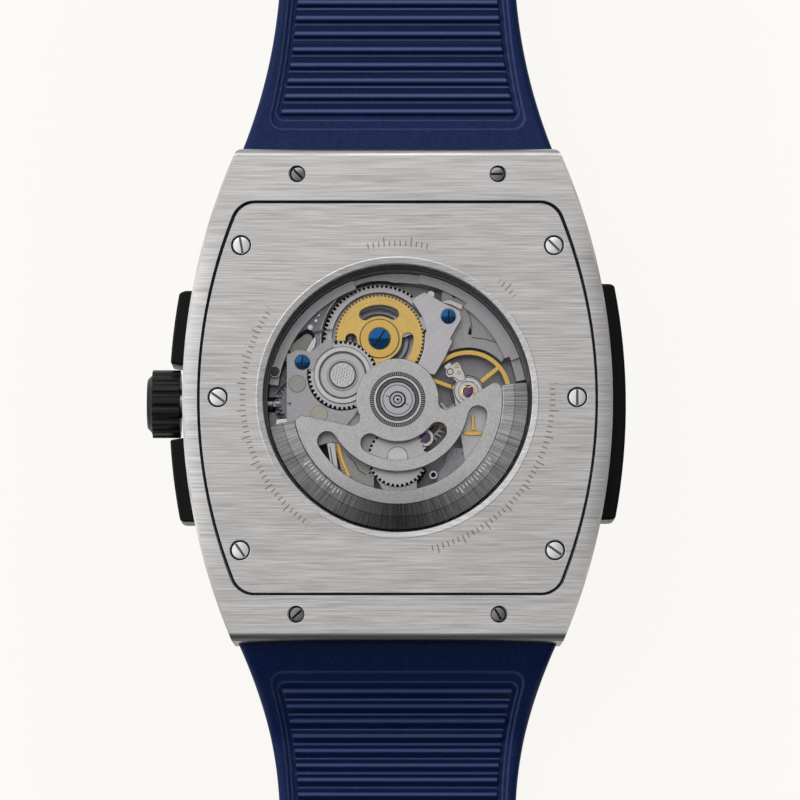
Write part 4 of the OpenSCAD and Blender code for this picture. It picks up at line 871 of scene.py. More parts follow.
@dataclass
class SlottedScrews:
    """Equal slotted screws, turned and carved, that stand for one frame node.

    Attributes:
        name: name of the piece.
        node: frame node that the piece stands for.
        body: body on which the piece rides.
        finish: finish of the heads.
        heads: x, y, height of the top and turn of the slot in degrees, for each screw.
        head_r: radius of a head.
        head_t: thickness of a head.
        dome: how much lower the rim of a head is than its middle.
        slot_w: width of the slot.
        slot_t: depth of the slot.
        shank_r: radius of a shank.
        shank: length of a shank.
        floor: finish of the dark sheets in the slots' floors, which are painted shade.
        recess: dark ring of painted shade around each head, where the counterbore lies in shadow: its outer
            radius and how far it lies under the head's top.
    """

    name: str
    node: str
    body: str
    finish: Finish
    heads: tuple[tuple[float, float, float, float], ...]
    head_r: float
    head_t: float
    dome: float
    slot_w: float
    slot_t: float
    shank_r: float
    shank: float
    floor: Finish
    recess: tuple[float, ...] = ()

    def head(self, x: float, y: float, top: float, turn: float) -> bpy.types.Object:
        """One screw: its head falls from the middle with the square of the radius."""
        r = np.linspace(self.head_r - 0.05, 1e-4, 7)
        crown = list(zip(r.tolist(), (top - self.dome * (r / self.head_r) ** 2).tolist()))
        under = top - self.head_t
        profile = [(1e-4, under - self.shank), (self.shank_r, under - self.shank), (self.shank_r, under),
                   (self.head_r, under), (self.head_r, top - self.dome - 0.06), *crown]
        made = lathe(self.name + "_head", profile, (x, y), 48, angle_deg=TURNED)
        carve(made, [bar_cutter((x, y), 2.6 * self.head_r, self.slot_w, top - self.slot_t, top + 1, turn)])
        return made

    def build(self) -> None:
        """Build the heads as one piece and the dark floors of their slots as another, as painted shade."""
        piece = join(self.name, [self.head(*head) for head in self.heads])
        shade(piece.data, TURNED)
        settle(piece, self.body, self.finish, self.node)
        # Dark sheets in the slots' floors: painted shade.
        floors = [bar_cutter((x, y), 2 * self.head_r - 0.2, self.slot_w - 0.01, top - self.slot_t - 0.02,
                             top - 0.55 * self.slot_t - 0.3 * self.dome, turn)
                  for x, y, top, turn in self.heads]
        settle(join(self.name + "_slot_shades", floors), self.body, self.floor)
        if self.recess:
            # Dark rings around the heads: painted shade in the counterbores.
            outer, deep = self.recess
            rings = [washer("recess", self.head_r, outer, top - deep - 0.05, top - deep, (x, y), 0.002, 48)
                     for x, y, top, _ in self.heads]
            settle(join(self.name + "_recess_shades", rings), self.body, LINE_DARK)
        LOG.info("screws %s", self.name)


def washer(name: str, r0: float, r1: float, z0: float, z1: float, at: Vec = (0.0, 0.0), edge: float = 0.025,
           steps: int = 128) -> bpy.types.Object:
    """A flat ring with broken upper edges."""
    profile = [(r0, z0), (r1, z0), (r1, z1 - edge), (r1 - edge, z1), (r0 + edge, z1), (r0, z1 - edge)]
    return lathe(name, profile, at, steps, angle_deg=TURNED)


def strips(name: str, rows: Sequence[Sequence[float]], z0: float, z1: float) -> bpy.types.Object:
    """Straight bars as one piece.

    Args:
        name: name of the piece.
        rows: x and y of the middle, length, width and turn in degrees of each bar.
        z0: height of the lower faces.
        z1: height of the upper faces.

    Returns:
        The joined bars.
    """
    return join(name, [bar_cutter((x, y), length, width, z0, z1, turn) for x, y, length, width, turn in rows])


def spokes(at: Vec, radius: float, count: int, length: float, width: float) -> list[tuple[float, ...]]:
    """Rows for strips: equal radial bars round a circle."""
    a = 2 * np.pi * np.arange(count) / count
    return [(at[0] + radius * math.cos(t), at[1] + radius * math.sin(t), length, width,
             math.degrees(t)) for t in a]


def stadium(a: Vec, b: Vec, radius: float) -> list[Vec]:
    """Outline with round ends about two points."""
    turn = math.degrees(math.atan2(b[1] - a[1], b[0] - a[0]))
    return [*ring_points(b, radius, turn - 90, turn + 90, 20),
            *ring_points(a, radius, turn + 90, turn + 270, 20)]


def stroke(path: Sequence[Vec], width: float) -> list[Vec]:
    """Outline of a line of one width along a path."""
    p = np.array(path, dtype=float)
    way = np.gradient(p, axis=0)
    side = np.stack([-way[:, 1], way[:, 0]], axis=-1) / np.linalg.norm(way, axis=1, keepdims=True)
    return [tuple(q) for q in (p - side * width / 2).tolist()] + [tuple(q) for q in
                                                                 (p + side * width / 2)[::-1].tolist()]


@dataclass
class HubDetail:
    """Turned rings over the rotor's bearing: a toothed collar, the inner race and its nut.

    Attributes:
        top: height of the rotor plate's upper face.
        teeth: number of teeth around the collar.
        crown: inner and outer radius of the toothed ring.
        race_r: radius of the inner race.
        nut_r: radius of the nut.
    """

    top: float = 10.85
    teeth: int = 76
    crown: tuple[float, float] = (2.4, 2.72)
    race_r: float = 1.74
    nut_r: float = 0.72

    def build(self) -> None:
        """Build the rings on the rotor, the cage on the balls and the race on the case."""
        z = self.top
        r0, r1 = self.crown
        # A dark ring under the teeth: painted shade between them.
        settle(washer("rotor_hub_teeth_shade", r0 - 0.04, r1 + 0.03, z - 0.05, z + 0.012, edge=0.004), "rotor",
               LINE_DARK)
        settle(strips("rotor_hub_teeth", spokes((0, 0), (r0 + r1) / 2, self.teeth, r1 - r0, 0.11), z - 0.02,
                      z + 0.05), "rotor", HUB_DARK)
        settle(washer("rotor_hub_collar", 2.13, r0 - 0.04, z - 0.05, z + 0.05), "rotor", CAP_STEEL)
        settle(washer("rotor_ball_cage", 1.79, 2.09, z - 0.3, z - 0.14), "balls", CAGE_STEEL)
        self.race(z - 0.08)

    def race(self, z: float) -> None:
        """The inner race with its nut, two turned lines and two scribed lines."""
        r, n = self.race_r, self.nut_r
        profile = [(1e-4, 8.9), (0.9, 8.9), (0.9, 9.6), (r, 9.6), (r, z - 0.04), (r - 0.04, z), (n + 0.12, z),
                   (n + 0.1, z - 0.1), (n, z - 0.1), (n, z + 0.12), (n - 0.07, z + 0.18), (0.46, z + 0.18),
                   (0.42, z + 0.04), (0.22, z + 0.04), (0.2, z + 0.14), (0.12, z + 0.15), (0.1, z), (1e-4, z)]
        settle(lathe("rotor_bearing_race", profile, steps=160, angle_deg=TURNED), "case", RACE_STEEL,
               "rotor_bearing")
        lines = [washer("race_line_1", 1.42, 1.49, z - 0.05, z + 0.005, edge=0.002),
                 washer("race_line_2", n + 0.01, n + 0.12, z - 0.09, z + 0.004, edge=0.002),
                 washer("race_line_3", 0.34, 0.43, z - 0.02, z + 0.07, edge=0.002),
                 strips("race_scribed", [(1.05 * math.cos(t), 1.05 * math.sin(t), 0.42, 0.07, math.degrees(t))
                                         for t in np.radians((162, -27)).tolist()], z - 0.05, z + 0.005),
                 washer("race_centre", 0.0001, 0.11, z - 0.02, z + 0.1, edge=0.002, steps=24)]
        settle(join("rotor_bearing_lines", lines), "case", LINE_DARK)


@dataclass
class ReverserDetail:
    """Cap of the reverser wheel with its slanted hand-cut lines, and the rings around it.

    Attributes:
        at: centre of the wheel.
        z: height of the wheel's upper face.
        cap_r: radius of the cap.
        lines: number of lines on the cap.
        pitch: distance from one line to the next.
        step: distance from one of a line's dashes to the next, as a share of the line's half length.
        dash: length of a dash, as a share of that distance.
        turn: direction of the lines in degrees.
    """

    at: tuple[float, float] = REVERSER
    z: float = 9.6
    cap_r: float = 1.24
    lines: int = 8
    pitch: float = 0.26
    step: float = 0.38
    dash: float = 0.62
    turn: float = 80.0

    def build(self) -> None:
        """Build the lined cap and the two raised rings, with dark lines of painted shade between them."""
        z, r = self.z, self.cap_r
        settle(washer("reverser_cap", 1e-4, r, z - 0.05, z + 0.09, self.at, 0.05), "reverser", CAP_STEEL)
        t = math.radians(self.turn)
        along = np.array([math.cos(t), math.sin(t)])
        side = np.array([-math.sin(t), math.cos(t)])
        rows = []
        for i in range(self.lines):
            off = (i - (self.lines - 1) / 2) * self.pitch
            reach = math.sqrt(max(0.05, (r - 0.16) ** 2 - off * off))
            for k in range(5):
                place = np.array(self.at) + off * side + along * reach * (k - 2 + 0.3 * (-1) ** i) * self.step
                rows.append((*place.tolist(), self.dash * self.step * reach, 0.055, self.turn))
        marks = [strips("cap_lines", rows, z + 0.05, z + 0.094),
                 # Dark rings around the cap and between the raised rings: painted shade.
                 washer("cap_line", r + 0.01, r + 0.12, z - 0.12, z - 0.02, self.at, 0.002),
                 washer("disc_line", 2.2, 2.33, z - 0.2, z - 0.03, self.at, 0.002)]
        settle(join("reverser_lines_and_shade", marks), "reverser", LINE_GREY)
        settle(washer("reverser_ring_1", r + 0.12, r + 0.3, z - 0.2, z, self.at, 0.05), "reverser", CAP_STEEL)
        settle(washer("reverser_ring_2", 2.34, 2.86, z - 0.2, z - 0.01, self.at, 0.06), "reverser", CAP_STEEL)


@dataclass
class BridgeDetail:
    """Small fittings on the bridges and in the openings of the movement.

    Attributes:
        shelf: height of the left bridge's upper face.
        bridge: height of the other bridges' upper face.
        wing: height of the plates beside the barrel and the balance.
    """

    shelf: float = 9.6
    bridge: float = 8.9
    wing: float = 8.15

    def disc(self, name: str, at: Vec, radius: float, z: float, finish: Finish, height: float = 0.08,
             body: str = "case") -> None:
        """A flat turned disc that stands on a bridge."""
        top = z + height
        profile = [(1e-4, z - 0.06), (radius, z - 0.06), (radius, top - 0.03), (radius - 0.04, top),
                   (1e-4, top)]
        settle(lathe(name, profile, at, 64, angle_deg=TURNED), body, finish)

    def hole(self, name: str, at: Vec, radius: float, z: float) -> None:
        """A countersunk hole with a bright rim: a thin ring around a floor painted dark as shade."""
        settle(washer(name + "_rim", radius, radius + 0.1, z - 0.05, z + 0.03, at, 0.03, 48), "case",
               WHEEL_STEEL)
        self.disc(name, at, radius, z, HOLE_DARK, 0.004)

    def plate(self, name: str, outline: Sequence[Vec], z0: float, z1: float, finish: Finish,
              bevel: float = 0.04) -> None:
        """A flat part of the movement from its outline."""
        settle(prism(name, list(outline), z0, z1, bevel), "case", finish)

    def line(self, name: str, path: Sequence[Vec], width: float, z0: float, z1: float,
             finish: Finish = LINE_GREY) -> None:
        """A dark line of one width along a path."""
        self.plate(name, stroke(path, width), z0, z1, finish, 0.0)

    def build(self) -> None:
        """Build discs, holes, the index arm's pins, the shock spring and the parts seen in the openings."""
        self.disc("bridge_disc_left", (-9.96, 1.69), 0.86, self.shelf, PLATE_LIGHT)
        self.disc("bridge_disc_low", (-7.77, -1.31), 0.86, self.shelf, WARM_STEEL, 0.05)
        self.hole("bridge_hole_left", (-10.7, -0.27), 0.16, self.shelf)
        self.hole("ring_hole_left", (-12.2, 3.0), 0.5, 9.0)
        self.disc("idler_cap", IDLER, 1.02, 9.4, CAP_STEEL, 0.08, "idler")
        shades = [washer("idler_shade", 2.5, 2.96, 8.8, 8.96, IDLER, 0.002),
                  washer("reverser_shade", 2.75, 3.5, 8.8, 8.96, REVERSER, 0.002)]
        settle(join("wheel_shades", shades), "case", LINE_DARK)
        settle(washer("ratchet_washer", 1.12, 1.92, 8.8, 8.98, BARREL, 0.03), "ratchet", GILT_TURNED)
        settle(washer("ratchet_shade", 4.0, 4.42, 8.455, 8.495, BARREL, 0.002), "ratchet", LINE_GREY)
        settle(washer("barrel_shade", 4.9, 5.76, 5.55, 5.64, BARREL, 0.002), "case", LINE_DARK)
        settle(washer("ratchet_washer_line", 1.9, 2.0, 8.8, 8.856, BARREL, 0.002), "ratchet", LINE_GREY)
        tail = [(2.75, 6.9), (2.6, 5.2), (2.2, 4.1), (1.8, 3.3), (2.7, 2.8), (3.7, 2.6), (4.7, 4.3), (5.5, 6.0),
                (4.5, 7.0)]
        self.plate("barrel_bridge_tail", tail, 8.97, 9.235, BRIDGE_NICKEL, 0.05)
        self.upper_left()
        self.upper_right()
        self.balance_fittings()
        self.openings()

    def upper_left(self) -> None:
        """Plate beside the barrel with its long hole, the click and its spring."""
        z = self.wing
        rim = ring_points((0, 0), 12.02, 118, 160, 30)
        wall = ring_points(BARREL, 5.8, 196, 124, 30)
        self.plate("plate_beside_barrel", [*rim, (-11.3, 4.1), (-8.2, 4.7), *wall], z - 0.13, z,
                   PLATE_SHADE, 0.0)
        self.plate("barrel_wall", [*ring_points(BARREL, 5.96, 122, 194, 30),
                                   *ring_points(BARREL, 5.82, 194, 122, 30)],
                   z - 0.05, z + 0.09, CAP_STEEL)
        # The dark outline of the long hole is painted shade on its wall.
        self.plate("long_hole", stadium((-10.42, 5.5), (-8.99, 6.6), 0.72), z - 0.05, z + 0.012, LINE_DARK, 0.0)
        self.plate("long_hole_floor", stadium((-10.26, 5.36), (-9.0, 6.32), 0.52), z - 0.03, z + 0.025,
                   FLOOR_WARM, 0.0)
        blade = [(-8.17, 6.61), (-8.05, 6.15), (-8.25, 5.41), (-8.99, 4.67), (-9.61, 4.67), (-9.15, 5.16),
                 (-8.63, 6.15)]
        self.plate("click_blade", blade, z, z + 0.35, CAP_STEEL, 0.06)
        self.plate("click_spring", [(-8.45, 6.86), (-6.5, 7.2), (-6.5, 7.32), (-8.4, 7.06)], z + 0.25, z + 0.37,
                   LINE_GREY, 0.0)
        for k, (x, y, r) in enumerate(((-8.66, 8.5, 0.16), (-8.13, 8.15, 0.2), (-7.85, 8.7, 0.14),
                                       (-8.7, 7.5, 0.3))):
            self.disc(f"click_pin_{k + 1}", (x, y), r, z, WHEEL_STEEL, 0.22)

    def upper_right(self) -> None:
        """Plate beside the balance with its leaf-shaped recess, the tab and two pins."""
        z = self.wing
        rim = ring_points((0, 0), 12.02, 25, 68, 30)
        room = ring_points(BALANCE, 4.5, 125, 42, 30)
        self.plate("plate_beside_balance", [*rim, (4.4, 10.9), (4.4, 4.9), *room], z - 0.13, z, PLATE_MID, 0.0)
        upper = [(6.7, 9.6), (7.65, 9.4), (8.83, 8.62), (10.01, 7.45), (10.9, 6.1), (11.3, 5.1)]
        leaf = [(6.9, 9.35), *upper[1:5], (10.4, 5.78), (8.83, 6.31), (7.55, 6.6), (7.41, 7.5), (7.25, 8.48)]
        self.plate("leaf_recess", leaf, z - 0.05, z + 0.015, PLATE_LIGHT, 0.0)
        self.line("leaf_line_1", upper, 0.13, z - 0.03, z + 0.04, LINE_DARK)
        self.line("leaf_line_2", [(6.86, 9.4), (7.25, 8.48), (7.41, 7.5), (7.3, 6.8)], 0.1, z - 0.03, z + 0.03)
        self.line("leaf_line_3", [(7.35, 6.51), (8.83, 6.31), (10.4, 5.78)], 0.1, z - 0.03, z + 0.03)
        self.plate("leaf_root", [(7.25, 7.79), (7.0, 6.81), (7.39, 6.75)], z - 0.03, z + 0.04, LINE_DARK, 0.0)
        tab = [(4.5, 10.2), (5.29, 10.28), (6.56, 9.75), (6.37, 9.21), (5.29, 9.75), (4.5, 9.94)]
        self.plate("bridge_tab", tab, z, z + 0.25, CAP_STEEL, 0.05)
        self.hole("plate_hole_top", (5.68, 10.73), 0.3, z + 0.15)
        self.disc("plate_pin_top", (3.32, 10.75), 0.38, z + 0.45, WHEEL_STEEL, 0.2)

    def balance_fittings(self) -> None:
        """Index arm with two pins and a stud, and the lyre spring over the purple jewel."""
        z = self.bridge
        x, y = BALANCE
        arm = [(6.3, 1.9), (6.75, 2.2), (6.66, 2.7), (6.17, 3.75), (5.88, 3.94), (5.29, 3.55), (4.85, 3.2),
               (4.75, 2.7), (5.0, 2.35), (5.58, 2.4)]
        self.plate("index_arm", arm, z + 0.14, z + 0.34, CAP_STEEL, 0.05)
        for k, at in enumerate(((5.86, 3.5), (6.08, 2.85))):
            self.disc(f"index_pin_{k + 1}", at, 0.19, z + 0.34, GILT_TURNED, 0.1)
        settle(washer("index_stud", 0.24, 0.34, z + 0.3, z + 0.38, (5.23, 2.95), 0.02, 48), "case", LINE_GREY)
        settle(washer("shock_setting", 0.95, 1.42, z - 0.02, z + 0.22, BALANCE, 0.08, 96), "case", CAP_STEEL)
        settle(washer("shock_setting_line", 0.84, 0.95, z - 0.02, z + 0.1, BALANCE, 0.01, 96), "case",
               LINE_GREY)
        dome = [(1e-4, z - 0.2), (0.62, z - 0.2), (0.62, z - 0.02), (0.5, z + 0.05), (0.25, z + 0.1),
                (1e-4, z + 0.11)]
        settle(lathe("shock_jewel", dome, BALANCE, 48), "case", RUBY_RED)
        s = np.linspace(0, 1, 60)
        turn = np.radians(-60 + 300 * s)
        reach = 0.58 - 0.2 * np.exp(-((s - 0.5) / 0.09) ** 2)
        path = np.stack([x + reach * np.cos(turn), y + reach * np.sin(turn), np.full(60, z + 0.16)], axis=-1)
        settle(tube("shock_spring", path, 0.075, 8), "case", GILT_TURNED)

    def openings(self) -> None:
        """Parts that show between the rotor's arms and beside it."""
        z = self.bridge
        # Dark sheets in the gaps: painted shade.
        self.plate("gap_shade_left", [(-8.0, -3.4), (-6.9, -3.6), (-6.7, -5.6), (-5.6, -7.9), (-6.6, -8.2),
                                      (-8.2, -5.6)],
                   8.3, 8.36, LINE_DARK, 0.0)
        floor = [(-5.9, -4.2), (-4.75, -4.6), (-3.67, -5.6), (-2.29, -6.71), (-2.4, -8.8), (-5.2, -8.4),
                 (-5.7, -6.4)]
        self.plate("gap_plate_left", floor, 8.36, 8.5, PLATE_LIGHT, 0.0)
        self.line("gap_line_left", [(-4.9, -5.4), (-4.3, -6.0), (-3.9, -6.8), (-3.1, -7.3)], 0.09, 8.45, 8.52)
        self.plate("plate_bar", [(-7.1, -3.9), (-6.2, -4.1), (-5.75, -7.9), (-6.4, -7.6), (-6.7, -6.2)], 8.45,
                   8.62, CAP_STEEL, 0.05)
        self.line("plate_bar_line", [(-6.72, -4.5), (-6.5, -5.8), (-6.2, -7.2)], 0.1, 8.5, 8.63)
        edge = np.array([(-6.0, -4.1), (-5.88, -4.8), (-5.7, -5.6), (-5.36, -6.5), (-4.9, -7.5)])
        self.plate("toothed_strip", stroke((edge + (0.12, 0.0)).tolist(), 0.3), 8.6, 8.72, GILT_TURNED, 0.02)
        s = np.linspace(0, 1, 16)
        places = np.stack([np.interp(s, np.linspace(0, 1, 5), edge[:, k]) for k in (0, 1)], axis=-1)
        settle(strips("strip_teeth", [(px - 0.1, py, 0.24, 0.11, 12.0) for px, py in places.tolist()], 8.6,
                      8.71),
               "case", GILT_TURNED)
        self.hole("lower_hole", (-2.75, -7.1), 0.16, 8.5)
        self.disc("lower_jewel", (2.72, -3.62), 0.52, z + 0.02, RUBY_RED, 0.1)
        settle(washer("lower_jewel_setting", 0.52, 0.9, z - 0.02, z + 0.14, (2.72, -3.62), 0.06, 64), "case",
               CAP_STEEL)
        self.plate("gap_shade_low", [(0.3, -8.5), (1.45, -7.75), (2.6, -6.6), (2.9, -6.9), (2.2, -8.0),
                                     (1.2, -8.9)],
                   8.3, 8.36, LINE_DARK, 0.0)
        settle(washer("oval_ring", 0.22, 0.46, 8.6, 8.75, (3.55, -7.3), 0.05, 48), "case", CAP_STEEL)
        # Dark disc in the oval: painted shade in the hole.
        self.disc("oval_hole_shade", (3.55, -7.3), 0.22, 8.6, LINE_DARK, 0.01)
        right = [(5.2, -4.6), (8.3, -4.6), (7.94, -5.4), (6.2, -6.9), (4.3, -8.2), (3.6, -7.6), (4.6, -6.4)]
        self.plate("gap_plate_right", right, 8.2, 8.3, PLATE_SHADE, 0.0)
        self.disc("gap_disc_right", (6.9, -6.0), 0.98, 8.3, PLATE_LIGHT, 0.06)
        stem = [(7.25, -2.95), (7.71, -2.95), (7.6, -1.5), (7.36, -1.45)]
        self.plate("brass_post", stem, z + 0.02, z + 0.5, GILT_TURNED)
        foot = [(7.5 + 0.98 * x, -3.18 + 0.26 * y) for x, y in ring_points((0, 0), 1.0, 0, 360, 32)]
        self.plate("brass_foot", foot, z + 0.02, z + 0.22, GILT_TURNED)
        self.plate("stop_block", [(-12.1, -2.4), (-11.0, -2.2), (-10.9, -1.75), (-12.05, -1.85)], 9.0, 9.55,
                   BRIGHT_STEEL)


@dataclass
class Case(Assembly):
    """Steel case with its bezel, back plate, glasses, gaskets, screws and guards.

    Attributes:
        plate_half: half length, half width at the middle and at the ends, and corner radius of the
            back plate.
        plate_top: height of the tops of the back plate's screws.
        end_top: height of the tops of the strap's screws.
    """

    plate_half: tuple[float, float, float, float] = (19.3, 19.5, 15.5, 2.2)
    plate_top: float = 13.05
    end_top: float = 13.1
    plan: ClassVar[dict[str, Dress]] = {
        "case_middle": Dress(CASE_STEEL, 0.12, 3, 25.0),
        "bezel": Dress(BRUSHED_BEZEL, 0.2, 3),
        "case_back": Dress(BACK_STEEL, 0.05, 2, 18.0),
        "bezel_screws": Dress(DARK_SCREW, 0.05, 2),
        "crystal_gasket": Dress(SEAL_RUBBER, 0.03),
        "back_gasket": Dress(SEAL_RUBBER, 0.0),
        "side_guard": Dress(GUARD_BLACK, 0.3, 3, 25.0),
        "crown_guards": Dress(GUARD_BLACK, 0.3, 3, 25.0),
        "crown_tube": Dress(WHEEL_NICKEL, 0.08),
        "front_crystal": Dress(CLEAR_GLASS, 0.15, 2),
        "back_crystal": Dress(CLEAR_GLASS, 0.1, 2),
    }

    def outline(self, grow: float) -> np.ndarray:
        """Outline of the back plate, moved outwards.

        The side is an arc of radius r about (hm - r, 0), which is hm wide at its middle and he at
        y = hl; the corner's centre lies where the arc of radius r - c meets the line y = hl - c.
        """
        hl, hm, he, c = self.plate_half
        r = (hl ** 2 + (hm - he) ** 2) / (2 * (hm - he))
        cy = hl - c
        cx = math.sqrt((r - c) ** 2 - cy ** 2) - (r - hm)
        turn = math.degrees(math.atan2(cy, cx + r - hm))
        half = [*ring_points((cx, -cy), c + grow, -90, -turn, 12),
                *ring_points((hm - r, 0), r + grow, -turn, turn, 30),
                *ring_points((cx, cy), c + grow, turn, 90, 12)]
        return np.array(half + [(-x, -y) for x, y in half])

    def groove(self) -> bpy.types.Object:
        """Dark sheet at the floor of the narrow groove around the back plate: painted shade."""
        loops = ((-0.03, 12.6), (0.2, 12.6), (0.2, 12.82), (-0.03, 12.82))
        rows = []
        for grow, z in loops:
            plan = self.outline(grow)
            rows.append(np.concatenate([plan, np.full((len(plan), 1), z)], axis=1))
        return grid_mesh("back_groove_shade", np.array(rows)[::-1], wrap_u=True, wrap_v=True, angle_deg=20.0)

    def build(self) -> None:
        """Dress every piece of the case and put in its slotted screws."""
        super().build()
        back = ((-15.45, 15.1, 100.0), (15.45, 15.1, -45.0), (-17.7, 0.0, -35.0), (17.7, 0.0, 90.0),
                (-15.45, -15.1, -55.0), (15.45, -15.1, -35.0))
        SlottedScrews("case_back_screw_set", "case_back_screws", "case", SCREW_STEEL,
                      tuple((x, y, self.plate_top, turn) for x, y, turn in back),
                      head_r=0.85, head_t=0.55, dome=0.07, slot_w=0.24, slot_t=0.24,
                      shank_r=0.5, shank=4.1, floor=LINE_GREY, recess=(0.99, 0.16)).build()
        ends = ((-9.85, 22.2, -45.0), (9.85, 22.2, 0.0), (-9.85, -21.4, 42.0), (9.85, -21.4, -60.0))
        SlottedScrews("strap_screw_set", "strap_screws", "case", DARK_SCREW,
                      tuple((x, y, self.end_top, turn) for x, y, turn in ends),
                      head_r=0.7, head_t=0.55, dome=0.08, slot_w=0.22, slot_t=0.24,
                      shank_r=0.5, shank=8.0, floor=LINE_DARK, recess=(0.84, 0.14)).build()
        settle(self.groove(), "case", LINE_DARK)


class Crown(Assembly):
    """Fluted rubber crown on its stem."""

    plan: ClassVar[dict[str, Dress]] = {
        "crown": Dress(CROWN_BLACK, 0.1, 3, 25.0),
        "winding_stem": Dress(WHEEL_NICKEL, 0.04),
        "winding_pinion": Dress(WHEEL_NICKEL, 0.03),
    }


class Movement(Assembly):
    """Main plate, bridges, train, escapement and keyless work."""

    plan: ClassVar[dict[str, Dress]] = {
        "movement_ring": Dress(RING_SHADED, 0.08),
        "main_plate": Dress(PLATE_NICKEL, 0.08),
        "train_bridge": Dress(PLATE_NICKEL, 0.09),
        "barrel_bridge": Dress(BRIDGE_NICKEL, 0.1),
        "balance_cock": Dress(BRIDGE_NICKEL, 0.09),
        "jewels": Dress(RUBY_RED, 0.03),
        "mainspring_barrel": Dress(WHEEL_NICKEL, 0.015),
        "mainspring": Dress(SPRING_STEEL, 0.0),
        "center_wheel": Dress(GILT_TURNED, 0.02),
        "third_wheel": Dress(GILT_TURNED, 0.02),
        "fourth_wheel": Dress(GILT_TURNED, 0.02),
        "escape_wheel": Dress(WHEEL_NICKEL, 0.02),
        "pallet_fork": Dress(WHEEL_NICKEL, 0.02),
        "balance_wheel": Dress(GILT_TURNED, 0.05),
        "hairspring": Dress(SPRING_STEEL, 0.0),
        "regulator": Dress(CAP_STEEL, 0.03),
        "ratchet_wheel": Dress(GILT_RATCHET, 0.015),
        "crown_wheel": Dress(RING_SHADED, 0.02),
        "reverser_wheel": Dress(WHEEL_NICKEL, 0.015),
        "reverser_pinion": Dress(WHEEL_NICKEL, 0.02),
        "winding_idler": Dress(WHEEL_NICKEL, 0.015),
    }

    def build(self) -> None:
        """Dress the movement, and put in its blued screws and small fittings."""
        super().build()
        feet = ((-9.47, 3.85, 9.6, 88.0), (-9.7, -3.6, 9.6, 20.0), (5.06, 8.48, 9.25, 85.0),
                (8.3, -6.6, 8.9, 40.0))
        SlottedScrews("bridge_screw_set", "bridge_screws", "case", BLUED_STEEL, feet, head_r=0.73,
                      head_t=0.25, dome=0.05, slot_w=0.16, slot_t=0.12, shank_r=0.29, shank=2.2,
                      floor=LINE_DARK).build()
        SlottedScrews("ratchet_screw_head", "ratchet_screw", "ratchet", BLUED_STEEL, ((*BARREL, 9.07, 57.0),),
                      head_r=1.08, head_t=0.22, dome=0.05, slot_w=0.16, slot_t=0.12, shank_r=0.34, shank=1.1,
                      floor=LINE_DARK).build()
        ReverserDetail().build()
        BridgeDetail().build()


class Rotor(Assembly):
    """Winding rotor on its ball bearing."""

    plan: ClassVar[dict[str, Dress]] = {
        "rotor_plate": Dress(ROTOR_PLATE, 0.07, 2, 25.0),
        "rotor_rim": Dress(ROTOR_RIM, 0.09, 2, 25.0),
        "rotor_gear": Dress(WHEEL_NICKEL, 0.03),
        "bearing_balls": Dress(SPRING_STEEL, 0.0),
    }

    def build(self) -> None:
        """Dress the rotor and turn the rings of its hub."""
        super().build()
        HubDetail().build()


class DialSide(Assembly):
    """Dial, marks and hands, which face down to the front glass."""

    plan: ClassVar[dict[str, Dress]] = {
        "dial": Dress(DIAL_BLUE, 0.05),
        "hour_marks": Dress(BRIGHT_STEEL, 0.05),
        "hour_hand": Dress(BRIGHT_STEEL, 0.04),
        "minute_hand": Dress(BRIGHT_STEEL, 0.04),
        "seconds_hand": Dress(RED_LACQUER, 0.03),
    }


